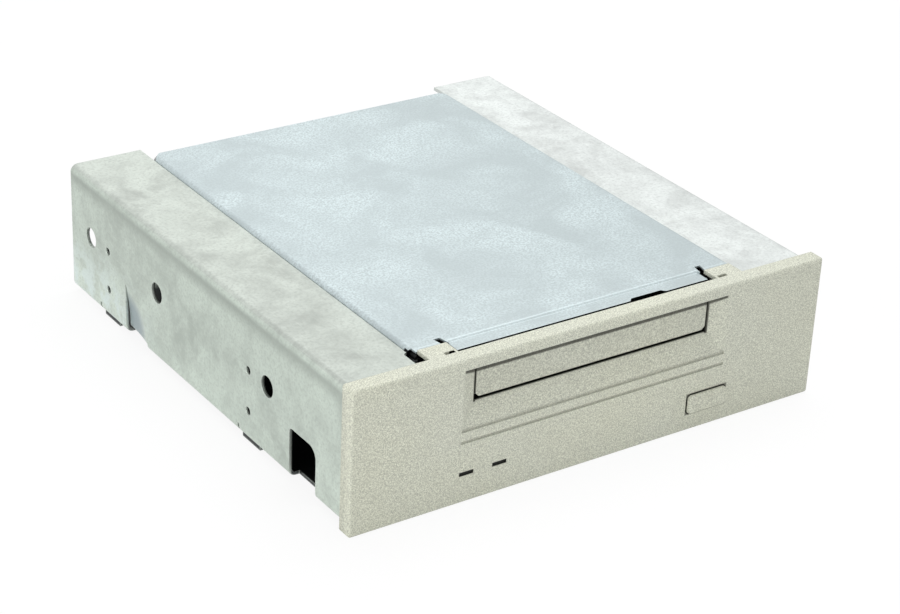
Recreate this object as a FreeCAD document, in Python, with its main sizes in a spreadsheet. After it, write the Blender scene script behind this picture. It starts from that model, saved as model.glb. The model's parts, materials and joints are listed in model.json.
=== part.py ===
import FreeCAD, Part
import math
import os
import Sketcher

# A 3.5 inch tape drive carried in a 5.25 inch half-height bay kit: a moulded front bezel,
# two folded steel side brackets, and between them the drive with its cover, cast chassis,
# circuit board and cassette mechanism.
#
# Millimetres. X runs across the drive, Y from front to back and Z upwards. Every piece is
# drawn with Y measured from the front of the bezel and Z from the plane that the bottom
# mounting pads stand on, and its placement then puts the origin at the centre of the four
# bottom mounting holes.

DRIVING_SIZES = [
    # front bezel
    ("bezel_width", 148.6), ("bezel_height", 41.2), ("bezel_depth", 4.5),
    ("bezel_plate", 2.3), ("bezel_rim", 1.8), ("bezel_corner", 0.8),
    ("scoop_half_width", 42.0), ("scoop_bottom", 21.0), ("scoop_depth", 2.6),
    ("groove_drop", 3.3), ("groove_width", 0.9), ("groove_depth", 0.3),
    ("slot_half_width", 37.0), ("slot_bottom", 27.2), ("slot_ledge", 3.2),
    ("slot_frame", 1.6), ("slot_frame_depth", 5.3),
    ("window_width", 4.4), ("window_height", 1.2), ("window_bottom", 7.9),
    ("window_left", 42.2), ("window_pitch", 10.1),
    ("tab_width", 8.5), ("tab_reach", 5.5), ("tab_thickness", 1.1), ("tab_outer", 49.5),
    ("tab_hole_width", 3.0), ("tab_hole_length", 1.2), ("tab_hole_inset", 3.7),
    ("rib_width", 1.0), ("rib_inner", 46.0), ("rib_pitch", 9.0),
    # door flap behind the slot
    ("door_gap", 0.4), ("door_thickness", 1.6), ("door_axis_drop", 2.6),
    ("door_bottom_gap", 0.6), ("door_pin_radius", 0.7), ("door_pin_length", 1.2),
    ("door_corner", 1.3), ("door_edge", 0.4),
    # eject button
    ("button_x", 37.2), ("button_height_centre", 8.1), ("button_width", 12.8),
    ("button_height", 5.4), ("button_gap", 0.3), ("button_proud", 1.1),
    ("button_corner", 1.0), ("button_edge", 0.8),
    ("button_travel", 1.2), ("button_stem", 10.4), ("button_flange", 0.8),
    # drive envelope
    ("drive_width", 101.6), ("drive_top", 40.7), ("drive_front", 5.8), ("drive_rear", 147.0),
    ("cover_sheet", 0.6), ("cover_flange", 8.0), ("cover_bend", 1.6), ("cover_clip", 2.5),
    ("lip_front", 6.7), ("lip_end", 11.6), ("lip_drop", 0.5),
    ("lip_notch_left", 14.0), ("lip_notch_width", 12.0), ("lip_notch_depth", 1.2),
    ("lip_bridge_left", -30.7), ("lip_bridge_width", 3.0),
    ("chassis_wall", 1.8), ("chassis_wall_top", 32.0), ("boss", 5.0),
    ("corner_slot_width", 1.9), ("corner_slot_front", 9.3), ("corner_slot_rear", 13.6),
    ("corner_slot_lean", 0.8), ("edge_notch_width", 1.1), ("edge_notch_rear", 12.6),
    # side brackets
    ("bay_width", 146.05), ("bracket_sheet", 1.0), ("bracket_bend", 2.2),
    ("bracket_bottom", 1.1), ("bracket_top", 39.7), ("bracket_front", 5.3),
    ("bracket_rear", 153.6), ("bracket_gap", 0.1), ("bracket_inner_top", 30.0),
    ("pad_width", 9.0), ("pad_length", 9.0), ("relief_width", 1.0), ("relief_height", 2.7),
    ("bottom_hole_inset", 3.175), ("hole_setback", 47.4), ("hole_pitch", 79.25),
    ("side_hole_low", 9.9), ("side_hole_high", 21.84), ("tapped_radius", 1.25),
    ("collar_height", 0.8), ("collar_wall", 0.7),
    ("access_radius", 3.0), ("access_front", 42.2), ("access_middle", 101.9),
    ("access_rear", 141.5), ("access_height", 21.8),
    ("notch_front", 18.1), ("notch_rear", 31.0), ("notch_top", 15.7),
    ("notch_front_corner", 3.4), ("notch_rear_corner", 1.4),
    ("dish_edge", 120.3), ("dish_bottom", 3.4), ("dish_radius", 12.4), ("dish_depth", 1.2),
    ("dish_slit", 0.4),
    # screws
    ("screw_radius", 1.45), ("screw_clearance", 0.25), ("screw_head_radius", 2.75),
    ("screw_head_height", 1.7), ("small_head_radius", 1.93), ("small_head_height", 1.2),
    # circuit board and its connectors
    ("board_bottom", 2.0), ("board_thickness", 1.6), ("board_margin", 0.4),
    ("board_front", 9.0), ("board_rear", 144.6), ("chip_height", 2.4),
    ("header_pin_count", 25), ("option_pin_count", 2), ("pin_pitch", 2.54),
    ("pin_square", 0.64), ("power_pin_radius", 1.05),
    ("header_depth", 9.0), ("header_height", 9.0),
    ("connector_left", -46.5), ("connector_right", 47.5), ("connector_top", 15.0),
    ("power_width", 21.5),
    # mechanism deck
    ("deck_bottom", 11.0), ("deck_thickness", 1.5), ("deck_front", 12.0), ("deck_rear", 137.0),
    ("fit", 0.05), ("gap", 0.3),
    # cassette tray, lift frame, guide plates and sliders
    ("cassette_half_width", 37.0), ("cassette_ceiling", 38.3),
    ("tray_sheet", 0.6), ("tray_bottom", 26.7), ("tray_front", 15.4),
    ("tray_length", 52.0), ("tray_lip", 5.0),
    ("tray_window_half", 20.4), ("tray_window_front", 7.5), ("tray_window_length", 16.0),
    ("tray_window_pitch", 24.0), ("tray_tab_rise", 3.0), ("tray_tab_inset", 8.0),
    ("strap_width", 12.0), ("foot_width", 4.0), ("foot_length", 10.0), ("stud_setback", 6.0),
    ("tray_feed", 16.0), ("rail_sheet", 0.8), ("plate_sheet", 1.0), ("lift_travel", 7.0),
    ("slider_travel", 14.0), ("lift_pin_radius", 1.0), ("lift_pin_height", 33.0),
    ("lift_pin_front", 30.0), ("lift_pin_rear", 70.0), ("slot_clearance", 0.1),
    ("slider_front", 24.0), ("slider_length", 64.0), ("slider_top", 36.6),
    # rack and pinion drive between the two sliders
    ("gear_module", 0.8), ("pinion_teeth", 10), ("shaft_radius", 1.5), ("shaft_y", 34.0),
    ("pinion_width", 1.4),
    # head drum
    ("drum_x", 2.0), ("drum_y", 106.0), ("drum_radius", 15.0), ("drum_tilt", 5.0),
    ("drum_base_height", 9.5), ("drum_rotor_height", 9.5), ("drum_shaft_radius", 2.0),
    ("drum_dish_radius", 12.0), ("drum_dish_depth", 2.4),
    # capstan, pinch roller and reels
    ("capstan_x", 31.0), ("capstan_y", 93.0), ("capstan_radius", 1.25),
    ("bearing_radius", 4.0), ("bearing_flange", 5.6), ("bearing_height", 5.0),
    ("flywheel_radius", 12.0), ("flywheel_thickness", 2.4),
    ("pivot_x", 40.0), ("pivot_y", 108.0), ("pinch_arm_length", 11.5),
    ("pinch_radius", 5.0), ("pinch_axle_radius", 0.9), ("pinch_rest_angle", -82.3),
    ("reel_half_spacing", 17.0), ("reel_y", 56.0), ("reel_radius", 11.0),
    ("reel_hub_radius", 3.3), ("reel_hub_top", 26.4),
    # threading guides that draw the tape to the drum
    ("guide_start_x", 15.0), ("guide_start_y", 77.0), ("guide_end_y", 104.0),
    ("entry_end_x", 19.0), ("exit_end_x", 23.0), ("guide_block", 6.4),
    ("guide_roller_radius", 2.4), ("guide_post_radius", 0.8), ("guide_top", 27.0),
    ("track_width", 3.0),
    # loading motor and the wheel between it and the left slider
    ("loader_y", 118.0), ("loader_teeth", 28), ("loader_hub", 2.6), ("loader_hole", 2.0),
    ("arm_height", 4.0), ("motor_angle", 36.0), ("motor_radius", 7.5), ("motor_flat", 6.0),
    ("motor_length", 20.0), ("motor_boss_radius", 2.5), ("motor_boss_height", 1.0),
    ("motor_shaft_radius", 1.0), ("cup_height", 5.0), ("ear_length", 4.0), ("ear_width", 6.0),
]

# shares of a tooth's pitch and of a screw head that give their shapes
RACK_ROOT_SHARE = 0.34
RACK_TIP_SHARE = 0.13
GEAR_ROOT_SHARE = 0.31
GEAR_TIP_SHARE = 0.12
TOOTH_DEPTH = 1.25
TOOTH_TIP = 0.95
CROSS_REACH = 0.55
CROSS_WIDTH = 0.25
CROSS_DEPTH = 0.6

doc = FreeCAD.newDocument("tape_drive")
sheet = doc.addObject("Spreadsheet::Sheet", "sizes")
for row, (alias, number) in enumerate(DRIVING_SIZES, start=1):
    sheet.set("A%d" % row, alias)
    sheet.set("B%d" % row, str(number))
    sheet.setAlias("B%d" % row, alias)
doc.recompute()


class Size:
    """A length with the spreadsheet formula that gives it, so that it can be bound."""

    def __init__(self, number, formula=None):
        self.number = float(number)
        self.formula = formula or repr(float(number))

    def _with(self, other, sign, turned=False):
        other = as_size(other)
        left, right = (other, self) if turned else (self, other)
        numbers = {
            "+": lambda: left.number + right.number,
            "-": lambda: left.number - right.number,
            "*": lambda: left.number * right.number,
            "/": lambda: left.number / right.number,
        }
        return Size(numbers[sign](), "(%s %s %s)" % (left.formula, sign, right.formula))

    def __add__(self, other):
        return self._with(other, "+")

    def __radd__(self, other):
        return self._with(other, "+", True)

    def __sub__(self, other):
        return self._with(other, "-")

    def __rsub__(self, other):
        return self._with(other, "-", True)

    def __mul__(self, other):
        return self._with(other, "*")

    def __rmul__(self, other):
        return self._with(other, "*", True)

    def __truediv__(self, other):
        return self._with(other, "/")

    def __rtruediv__(self, other):
        return self._with(other, "/", True)

    def __neg__(self):
        return self * -1

    def __float__(self):
        return self.number


def as_size(value):
    return value if isinstance(value, Size) else Size(value)


class Sheet:
    """Gives each spreadsheet cell as a Size, by its alias."""

    def __getattr__(self, alias):
        return Size(sheet.get(alias), "<<sizes>>." + alias)


S = Sheet()


def bind(thing, name, value):
    """Ties a property to its formula in the spreadsheet."""
    thing.setExpression(name, as_size(value).formula)


# ---------------------------------------------------------------- outlines for sketches

def path(*points):
    """A closed outline. A point's third value makes an arc of that radius to the next one,
    turning left when it is positive and right when it is negative."""
    return ("path", [tuple(as_size(value) for value in point) for point in points])


def box(x_low, x_high, y_low, y_high):
    return path((x_low, y_low), (x_high, y_low), (x_high, y_high), (x_low, y_high))


def circle(x, y, radius):
    return ("circle", (as_size(x), as_size(y), as_size(radius)))


def soft_box(x_low, x_high, y_low, y_high, r):
    """A rectangle whose four corners are quarter rounds."""
    return path((x_low + r, y_low), (x_high - r, y_low, r), (x_high, y_low + r),
                (x_high, y_high - r, r), (x_high - r, y_high), (x_low + r, y_high, r),
                (x_low, y_high - r), (x_low, y_low + r, r))


def flat(x, y):
    return FreeCAD.Vector(float(x), float(y), 0)


def ring(centre, radius):
    return Part.Circle(centre, FreeCAD.Vector(0, 0, 1), abs(float(radius)))


def arc(start, end, radius):
    """The shorter arc between two points, as geometry that runs anticlockwise."""
    chord = end - start
    reach = math.sqrt(radius ** 2 - (chord.Length / 2) ** 2)
    left = FreeCAD.Vector(-chord.y, chord.x, 0) / chord.Length
    centre = (start + end) / 2 + left * math.copysign(reach, radius)
    ends = (start, end) if radius > 0 else (end, start)
    angles = [math.atan2(end.y - centre.y, end.x - centre.x) for end in ends]
    return Part.ArcOfCircle(ring(centre, radius), *angles)


def constrain(sketch, kind, value, *where):
    """Adds a dimension tied to its formula in the spreadsheet."""
    place = sketch.addConstraint(Sketcher.Constraint(kind, *where, value.number))
    bind(sketch, "Constraints[%d]" % place, value)


def fix_point(sketch, index, end, x, y):
    """Holds one point of a sketch element at (x, y) from the sketch's origin."""
    constrain(sketch, "DistanceX", x, -1, 1, index, end)
    constrain(sketch, "DistanceY", y, -1, 1, index, end)


def draw_circle(sketch, x, y, radius):
    index = sketch.addGeometry(ring(flat(x, y), radius))
    fix_point(sketch, index, 3, x, y)
    constrain(sketch, "Radius", radius, index)


def draw_path(sketch, points):
    first = sketch.GeometryCount
    ends = []
    for i, point in enumerate(points):
        start, end = flat(*point[:2]), flat(*points[(i + 1) % len(points)][:2])
        if len(point) == 2:
            sketch.addGeometry(Part.LineSegment(start, end))
        else:
            sketch.addGeometry(arc(start, end, point[2].number))
        turns_right = len(point) == 3 and point[2].number < 0
        ends.append((2, 1) if turns_right else (1, 2))
    for i, point in enumerate(points):
        following = (i + 1) % len(points)
        sketch.addConstraint(Sketcher.Constraint("Coincident", first + i, ends[i][1],
                                                 first + following, ends[following][0]))
        fix_point(sketch, first + i, ends[i][0], *point[:2])
        if len(point) == 3:
            size = point[2] if point[2].number > 0 else -point[2]
            constrain(sketch, "Radius", size, first + i)


def draw(sketch, outline):
    kind, data = outline
    if kind == "circle":
        draw_circle(sketch, *data)
    else:
        draw_path(sketch, data)


# ---------------------------------------------------------------- pieces

FRONT = -(S.bezel_depth + S.hole_setback + S.hole_pitch / 2)
pieces = []


def stand(thing, x=0, y=0, z=0):
    """Places a piece: its Y is measured from the bezel's front."""
    bind(thing, "Placement.Base.x", as_size(x))
    bind(thing, "Placement.Base.y", FRONT + y)
    bind(thing, "Placement.Base.z", as_size(z))


def across(a, b, side):
    """The range from a to b on one side of the middle, lowest first."""
    return sorted((as_size(a) * side, as_size(b) * side), key=float)


class Piece:
    """A PartDesign body built up from pads and cuts that run from a low to a high level."""

    def __init__(self, label, x=0, y=0, z=0, kept=True):
        self.body = doc.addObject("PartDesign::Body", label)
        self.body.Label = label
        stand(self.body, x, y, z)
        if kept:
            pieces.append(self.body)

    def sketch(self, plane, level, outlines):
        role = plane + "_Plane"
        base = [f for f in self.body.Origin.OriginFeatures if f.Role == role][0]
        sketch = self.body.newObject("Sketcher::SketchObject", self.body.Label + "_sketch")
        sketch.AttachmentSupport = [(base, "")]
        sketch.MapMode = "FlatFace"
        level = as_size(level)
        bind(sketch, "AttachmentOffset.Base.z", -level if plane == "XZ" else level)
        for outline in outlines:
            draw(sketch, outline)
        return sketch

    def feature(self, kind, plane, low, high, outlines):
        low, high = as_size(low), as_size(high)
        shape = self.body.newObject("PartDesign::" + kind, self.body.Label + "_" + kind.lower())
        shape.Profile = self.sketch(plane, low, outlines)
        bind(shape, "Length", high - low)
        towards_normal = plane != "XZ"
        shape.Reversed = towards_normal == (kind == "Pocket")
        return shape

    def pad(self, plane, low, high, *outlines):
        return self.feature("Pad", plane, low, high, outlines)

    def cut(self, plane, low, high, *outlines):
        """Cuts, and makes sure that the cut really took material away."""
        doc.recompute()
        before = self.body.Shape.Volume
        pocket = self.feature("Pocket", plane, low, high, outlines)
        doc.recompute()
        if not self.body.Shape.Volume < before - 1e-6:
            raise RuntimeError("a cut in %s removes nothing" % self.body.Label)
        return pocket

    def turn(self, plane, level, axis_height, outline):
        """Adds an outline turned a quarter about a level line in its own plane."""
        sketch = self.sketch(plane, level, [outline])
        start, end = flat(0, axis_height), flat(1, axis_height)
        line = sketch.addGeometry(Part.LineSegment(start, end), True)
        fix_point(sketch, line, 1, as_size(0), as_size(axis_height))
        fix_point(sketch, line, 2, as_size(1), as_size(axis_height))
        shape = self.body.newObject("PartDesign::Revolution", self.body.Label + "_turned")
        shape.Profile = sketch
        shape.ReferenceAxis = (sketch, ["Axis0"])
        shape.Angle = 90
        doc.recompute()
        return shape

    def edges_along(self, axis, places):
        """Names of the straight edges along an axis that pass through the given places."""
        others = [i for i in range(3) if i != "XYZ".index(axis)]
        doc.recompute()
        shape = self.body.Tip.Shape
        wanted = [tuple(float(v) for v in place) for place in places]
        names = []
        for number, edge in enumerate(shape.Edges, start=1):
            ends = [vertex.Point for vertex in edge.Vertexes]
            if len(ends) != 2 or edge.Curve.TypeId != "Part::GeomLine":
                continue
            for place in wanted:
                if all(abs(end[k] - place[n]) < 1e-3
                       for end in ends for n, k in enumerate(others)):
                    names.append("Edge%d" % number)
        if not names:
            raise RuntimeError("no edge of %s to round" % self.body.Label)
        return names

    def soften(self, kind, names, size):
        edges = (self.body.Tip, names)
        feature = self.body.newObject("PartDesign::" + kind, self.body.Label + "_" + kind.lower())
        feature.Base = edges
        bind(feature, "Radius" if kind == "Fillet" else "Size", size)
        doc.recompute()
        return feature

    def round(self, axis, places, radius):
        return self.soften("Fillet", self.edges_along(axis, places), radius)

    def chamfer(self, axis, places, size):
        return self.soften("Chamfer", self.edges_along(axis, places), size)


def group(label, shapes):
    """One node of several separate, like solids."""
    thing = doc.addObject("Part::Feature", label)
    thing.Label = label
    thing.Shape = Part.makeCompound(shapes)
    stand(thing)
    pieces.append(thing)
    return thing


def vector(x, y, z):
    return FreeCAD.Vector(float(x), float(y), float(z))


def rod(x, y, low, high, radius):
    """An upright round rod."""
    return Part.makeCylinder(float(radius), float(high) - float(low), vector(x, y, low))


# ---------------------------------------------------------------- derived places

HALF_BEZEL = S.bezel_width / 2
HALF_DRIVE = S.drive_width / 2
HALF_BAY = S.bay_width / 2
TAB_INNER = S.tab_outer - S.tab_width
COVER_UNDER = S.drive_top - S.cover_sheet
DECK_TOP = S.deck_bottom + S.deck_thickness
BOARD_TOP = S.board_bottom + S.board_thickness
CHASSIS_INSIDE = HALF_DRIVE - S.chassis_wall
DOOR_FRONT = S.scoop_depth
DOOR_AXIS_Y = DOOR_FRONT + S.door_thickness / 2
DOOR_AXIS_Z = S.bezel_height - S.door_axis_drop
SLOT_TOP = S.bezel_height - S.slot_ledge
HOLE_FRONT = S.bezel_depth + S.hole_setback
HOLE_REAR = HOLE_FRONT + S.hole_pitch
PAD_X = HALF_BAY - S.bottom_hole_inset
SCREW_ROWS = [S.access_front, S.access_middle, S.access_rear]
DISH_BULGE = (S.dish_radius * S.dish_radius + S.dish_depth * S.dish_depth) / (S.dish_depth * 2)


# ---------------------------------------------------------------- front bezel

def make_bezel():
    """The moulded front: a scooped slot for cassettes, indicator windows and a button hole."""
    bezel = Piece("bezel")
    bezel.pad("XZ", 0, S.bezel_depth, box(-HALF_BEZEL, HALF_BEZEL, 0, S.bezel_height))
    bezel.round("Y", [(-HALF_BEZEL, 0), (HALF_BEZEL, 0), (-HALF_BEZEL, S.bezel_height),
                      (HALF_BEZEL, S.bezel_height)], S.bezel_corner)
    front = bezel.edges_along("X", [(0, 0), (0, S.bezel_height)])
    bezel.soften("Fillet", front, S.bezel_corner)
    rim_top = S.bezel_height - S.bezel_rim
    bezel.cut("XZ", S.bezel_plate, S.bezel_depth,
              box(S.bezel_rim - HALF_BEZEL, HALF_BEZEL - S.bezel_rim, S.bezel_rim, rim_top))
    # upright ribs stiffen the plate beside the slot
    ribs = [S.rib_inner * side + S.rib_pitch * number * side
            for side in (-1, 1) for number in range(3)]
    bezel.pad("XZ", S.bezel_plate, S.bezel_depth,
              *[box(x - S.rib_width / 2, x + S.rib_width / 2, S.bezel_rim, rim_top)
                for x in ribs])
    # a frame behind the slot carries the door
    frame_x = S.slot_half_width + S.slot_frame + S.door_pin_length
    bezel.pad("XZ", S.bezel_plate, S.slot_frame_depth,
              box(-frame_x, frame_x, S.scoop_bottom, S.bezel_height - S.bezel_rim / 2))
    bezel.cut("XZ", S.bezel_plate, S.slot_frame_depth,
              box(-S.slot_half_width, S.slot_half_width, S.slot_bottom,
                  DOOR_AXIS_Z + S.door_thickness / 2 + S.gap))
    bezel.cut("XZ", 0, S.bezel_plate,
              box(-S.slot_half_width, S.slot_half_width, S.slot_bottom, SLOT_TOP))
    # the scoop in front of the door: slanted cheeks and a sloping sill
    loft = bezel.body.newObject("PartDesign::SubtractiveLoft", "scoop")
    loft.Profile = bezel.sketch("XZ", 0, [box(-S.scoop_half_width, S.scoop_half_width,
                                              S.scoop_bottom, SLOT_TOP)])
    loft.Sections = [bezel.sketch("XZ", S.scoop_depth,
                                  [box(-S.slot_half_width, S.slot_half_width,
                                       S.slot_bottom, SLOT_TOP)])]
    loft.Ruled = True
    # two fine grooves under the scoop, each with a level floor and a slanting upper side
    for drop in (0, S.groove_drop):
        low = S.scoop_bottom - drop - S.groove_width / 2
        bezel.cut("YZ", -S.scoop_half_width, S.scoop_half_width,
                  path((0, low), (S.groove_depth, low),
                       (S.groove_depth, low + S.groove_width / 2), (0, low + S.groove_width)))
    # two indicator windows and the button's hole
    bezel.cut("XZ", 0, S.bezel_plate,
              *[box(left, left + S.window_width, S.window_bottom,
                    S.window_bottom + S.window_height) for left in window_lefts()])
    hole_x = S.button_width / 2 + S.button_gap
    hole_z = S.button_height / 2 + S.button_gap
    collar = S.bezel_rim / 2
    x, z = S.button_x, S.button_height_centre
    bezel.pad("XZ", S.bezel_plate, S.bezel_depth,
              box(x - hole_x - collar, x + hole_x + collar,
                  z - hole_z - collar, z + hole_z + collar))
    bezel.cut("XZ", 0, S.bezel_depth,
              soft_box(x - hole_x, x + hole_x, z - hole_z, z + hole_z,
                       S.button_corner + S.button_gap))
    for side in (-1, 1):
        # the door's pin socket
        socket = across(S.slot_half_width, S.slot_half_width + S.door_pin_length, side)
        bezel.cut("YZ", *socket,
                  circle(DOOR_AXIS_Y, DOOR_AXIS_Z, S.door_pin_radius + S.fit))
        # a tab, flush with the bezel's top, that lies over the drive, with a latch window
        low = S.bezel_height - S.tab_thickness
        bezel.pad("XY", low, S.bezel_height,
                  box(*across(TAB_INNER, S.tab_outer, side), S.bezel_depth - S.bezel_rim,
                      S.bezel_depth + S.tab_reach))
        window = TAB_INNER + S.tab_hole_inset - S.tab_hole_width
        bezel.cut("XY", low, S.bezel_height,
                  box(*across(window, window + S.tab_hole_width, side),
                      S.bezel_depth, S.bezel_depth + S.tab_hole_length))
    return bezel


def window_lefts():
    """Left sides of the two indicator windows."""
    return [S.window_pitch * number - S.window_left for number in (0, 1)]


def make_door():
    """The flap that closes the slot, hinged along its hidden top edge."""
    door = Piece("door_flap")
    half = S.slot_half_width - S.door_gap
    bottom = S.slot_bottom + S.door_bottom_gap
    back = DOOR_FRONT + S.door_thickness
    door.pad("XZ", DOOR_FRONT, back, box(-half, half, bottom, DOOR_AXIS_Z))
    door.chamfer("Y", [(-half, bottom), (half, bottom)], S.door_corner)
    door.pad("YZ", -half, half, circle(DOOR_AXIS_Y, DOOR_AXIS_Z, S.door_thickness / 2))
    pin = half + S.door_pin_length
    door.pad("YZ", -pin, pin, circle(DOOR_AXIS_Y, DOOR_AXIS_Z, S.door_pin_radius))
    # the lower front edge is eased so that a cassette slides over it
    door.chamfer("X", [(DOOR_FRONT, bottom)], S.door_edge)
    return door


def make_button():
    """The eject button: a soft-edged cap, a stop flange and a stem to its switch."""
    button = Piece("eject_button")
    half_x, half_z = S.button_width / 2, S.button_height / 2
    x, z = S.button_x, S.button_height_centre
    button.pad("XZ", -S.button_proud, S.bezel_depth + S.button_gap * 2,
               soft_box(x - half_x, x + half_x, z - half_z, z + half_z, S.button_corner))
    doc.recompute()
    front = ["Edge%d" % n for n, edge in enumerate(button.body.Tip.Shape.Edges, start=1)
             if edge.BoundBox.YMax + float(S.button_proud) < 1e-6]
    button.soften("Fillet", front, S.button_edge)
    flange = S.bezel_depth + S.button_gap
    button.pad("XZ", flange, flange + S.button_flange,
               box(x - half_x - S.button_flange, x + half_x + S.button_flange,
                   z - half_z, z + half_z))
    stem = S.button_height / 4
    button.pad("XZ", flange, S.button_stem, box(x - stem, x + stem, z - stem, z + stem))
    return button


def make_front_board_parts():
    """Light pipes in the bezel's windows, the lamps behind them and the eject switch."""
    inset = S.door_gap
    pipes, lamps = [], []
    lamp_front = S.board_front + S.board_thickness
    width = S.window_width - S.fit * 2
    for window in window_lefts():
        left = window + S.fit
        low = S.window_bottom + S.fit
        pipes.append(Part.makeBox(float(width), float(lamp_front - S.fit - inset),
                                  float(S.window_height - S.fit * 2),
                                  vector(left, inset, low)))
        lamp = Part.makeBox(float(width), float(S.board_thickness * 2),
                            float(S.window_bottom + S.window_height * 1.5 - BOARD_TOP),
                            vector(left, lamp_front, BOARD_TOP))
        lamps.append(lamp)
    group("light_pipes", pipes)
    group("front_lamps", lamps)
    switch = Piece("eject_switch")
    body_front = S.button_stem + S.button_travel + S.gap * 2
    half = S.button_height / 2
    switch.pad("XY", BOARD_TOP, S.button_height_centre + half,
               box(S.button_x - half, S.button_x + half, body_front, body_front + half * 2))
    switch.pad("XZ", body_front - S.gap, body_front,
               circle(S.button_x, S.button_height_centre, S.button_height / 4))
    return switch


# ---------------------------------------------------------------- side brackets

def make_bracket(label, side):
    """One folded steel channel: outer wall, top flange, floor and inner wall."""
    bracket = Piece(label)
    inner_wall = HALF_DRIVE + S.bracket_gap
    sheet_in = S.bracket_sheet
    floor_top = S.bracket_bottom + sheet_in
    section = [
        (HALF_BAY, S.bracket_bottom), (HALF_BAY, S.bracket_top),
        (inner_wall, S.bracket_top), (inner_wall, S.bracket_top - sheet_in),
        (HALF_BAY - sheet_in, S.bracket_top - sheet_in), (HALF_BAY - sheet_in, floor_top),
        (inner_wall + sheet_in, floor_top), (inner_wall + sheet_in, S.bracket_inner_top),
        (inner_wall, S.bracket_inner_top), (inner_wall, S.bracket_bottom),
    ]
    bracket.pad("XZ", S.bracket_front, S.bracket_rear,
                path(*[(x * side, z) for x, z in section]))
    bracket.round("Y", [(HALF_BAY * side, S.bracket_top), (HALF_BAY * side, S.bracket_bottom),
                        (inner_wall * side, S.bracket_bottom)], S.bracket_bend)
    bracket.round("Y", [((HALF_BAY - sheet_in) * side, S.bracket_top - sheet_in),
                        ((HALF_BAY - sheet_in) * side, floor_top),
                        ((inner_wall + sheet_in) * side, floor_top)],
                  S.bracket_bend - sheet_in)
    cut_bottom(bracket, side, floor_top)
    cut_side_holes(bracket, side, inner_wall)
    press_dish(bracket, side)
    # window at the front of the outer wall, open downwards
    skin = across(HALF_BAY - sheet_in, HALF_BAY, side)
    bend = across(HALF_BAY - S.bracket_bend - sheet_in, HALF_BAY, side)
    front, rear, top = S.notch_front, S.notch_rear, S.notch_top
    square_top = S.bracket_bottom + S.bracket_bend
    bracket.cut("YZ", *bend, box(front, rear, 0, square_top))
    bracket.cut("YZ", *skin,
                path((front, square_top), (rear, square_top),
                     (rear, top - S.notch_rear_corner, S.notch_rear_corner),
                     (rear - S.notch_rear_corner, top),
                     (front + S.notch_front_corner, top, S.notch_front_corner),
                     (front, top - S.notch_front_corner)))
    if side < 0:
        # the flange's inner corner is cleared beside the bezel's tab
        wide = S.edge_notch_width
        bracket.cut("XY", S.bracket_top - sheet_in, S.bracket_top,
                    path((-inner_wall - wide, S.bracket_front), (-inner_wall, S.bracket_front),
                         (-inner_wall, S.edge_notch_rear, wide),
                         (-inner_wall - wide, S.edge_notch_rear - wide)))
    return bracket


def cut_bottom(bracket, side, floor_top):
    """Pads that drop from the floor to the mounting plane, with their tapped holes."""
    relief = across(HALF_BAY - S.bracket_bend, HALF_BAY, side)
    for y in (HOLE_FRONT, HOLE_REAR):
        rear = y + S.pad_length / 2
        bracket.pad("XY", 0, floor_top,
                    box(*across(PAD_X - S.pad_width / 2, HALF_BAY - S.bracket_bend / 2, side),
                        y - S.pad_length / 2, rear))
        bracket.pad("XY", floor_top, floor_top + S.collar_height,
                    circle(PAD_X * side, y, S.tapped_radius + S.collar_wall))
        bracket.cut("XY", 0, floor_top + S.collar_height,
                    circle(PAD_X * side, y, S.tapped_radius))
        bracket.cut("YZ", *relief, box(rear, rear + S.relief_width, S.bracket_bottom,
                                       S.bracket_bottom + S.relief_height))


def cut_side_holes(bracket, side, inner_wall):
    """Tapped holes with drawn collars, and wide holes to reach the drive's own screws."""
    outer = HALF_BAY - S.bracket_sheet
    tapped = [(y, z) for y in (HOLE_FRONT, HOLE_REAR)
              for z in (S.side_hole_low, S.side_hole_high)]
    for y, z in tapped:
        bracket.pad("YZ", *across(outer - S.collar_height, outer, side),
                    circle(y, z, S.tapped_radius + S.collar_wall))
    bracket.cut("YZ", *across(outer - S.collar_height, HALF_BAY, side),
                *[circle(y, z, S.tapped_radius) for y, z in tapped])
    bracket.cut("YZ", *across(outer - S.collar_height, HALF_BAY, side),
                *[circle(y, S.access_height, S.access_radius) for y in SCREW_ROWS])
    bracket.cut("YZ", *across(inner_wall, inner_wall + S.bracket_sheet, side),
                *[circle(y, S.access_height, S.screw_radius + S.screw_clearance)
                  for y in SCREW_ROWS])


def press_dish(bracket, side):
    """A quarter dish pressed inwards, sheared from the wall along a slit and below."""
    edge, low, radius = S.dish_edge, S.dish_bottom, S.dish_radius
    outer, inner = HALF_BAY, HALF_BAY - S.bracket_sheet
    slit_top = low + radius + S.dish_slit
    bend = across(HALF_BAY - S.bracket_bend - S.bracket_sheet, HALF_BAY, side)
    bracket.cut("YZ", *across(inner, outer, side),
                path((edge - radius, low), (edge + S.dish_slit, low),
                     (edge + S.dish_slit, slit_top), (edge, slit_top),
                     (edge, low + radius, radius)))
    bracket.cut("YZ", *bend, box(edge - radius, edge + S.dish_slit, 0, low))
    bulge = DISH_BULGE * side
    bracket.turn("XZ", edge, low,
                 path((outer * side, low + radius, bulge), ((outer - S.dish_depth) * side, low),
                      ((inner - S.dish_depth) * side, low, -bulge),
                      (inner * side, low + radius)))


# ---------------------------------------------------------------- cover and chassis

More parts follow.
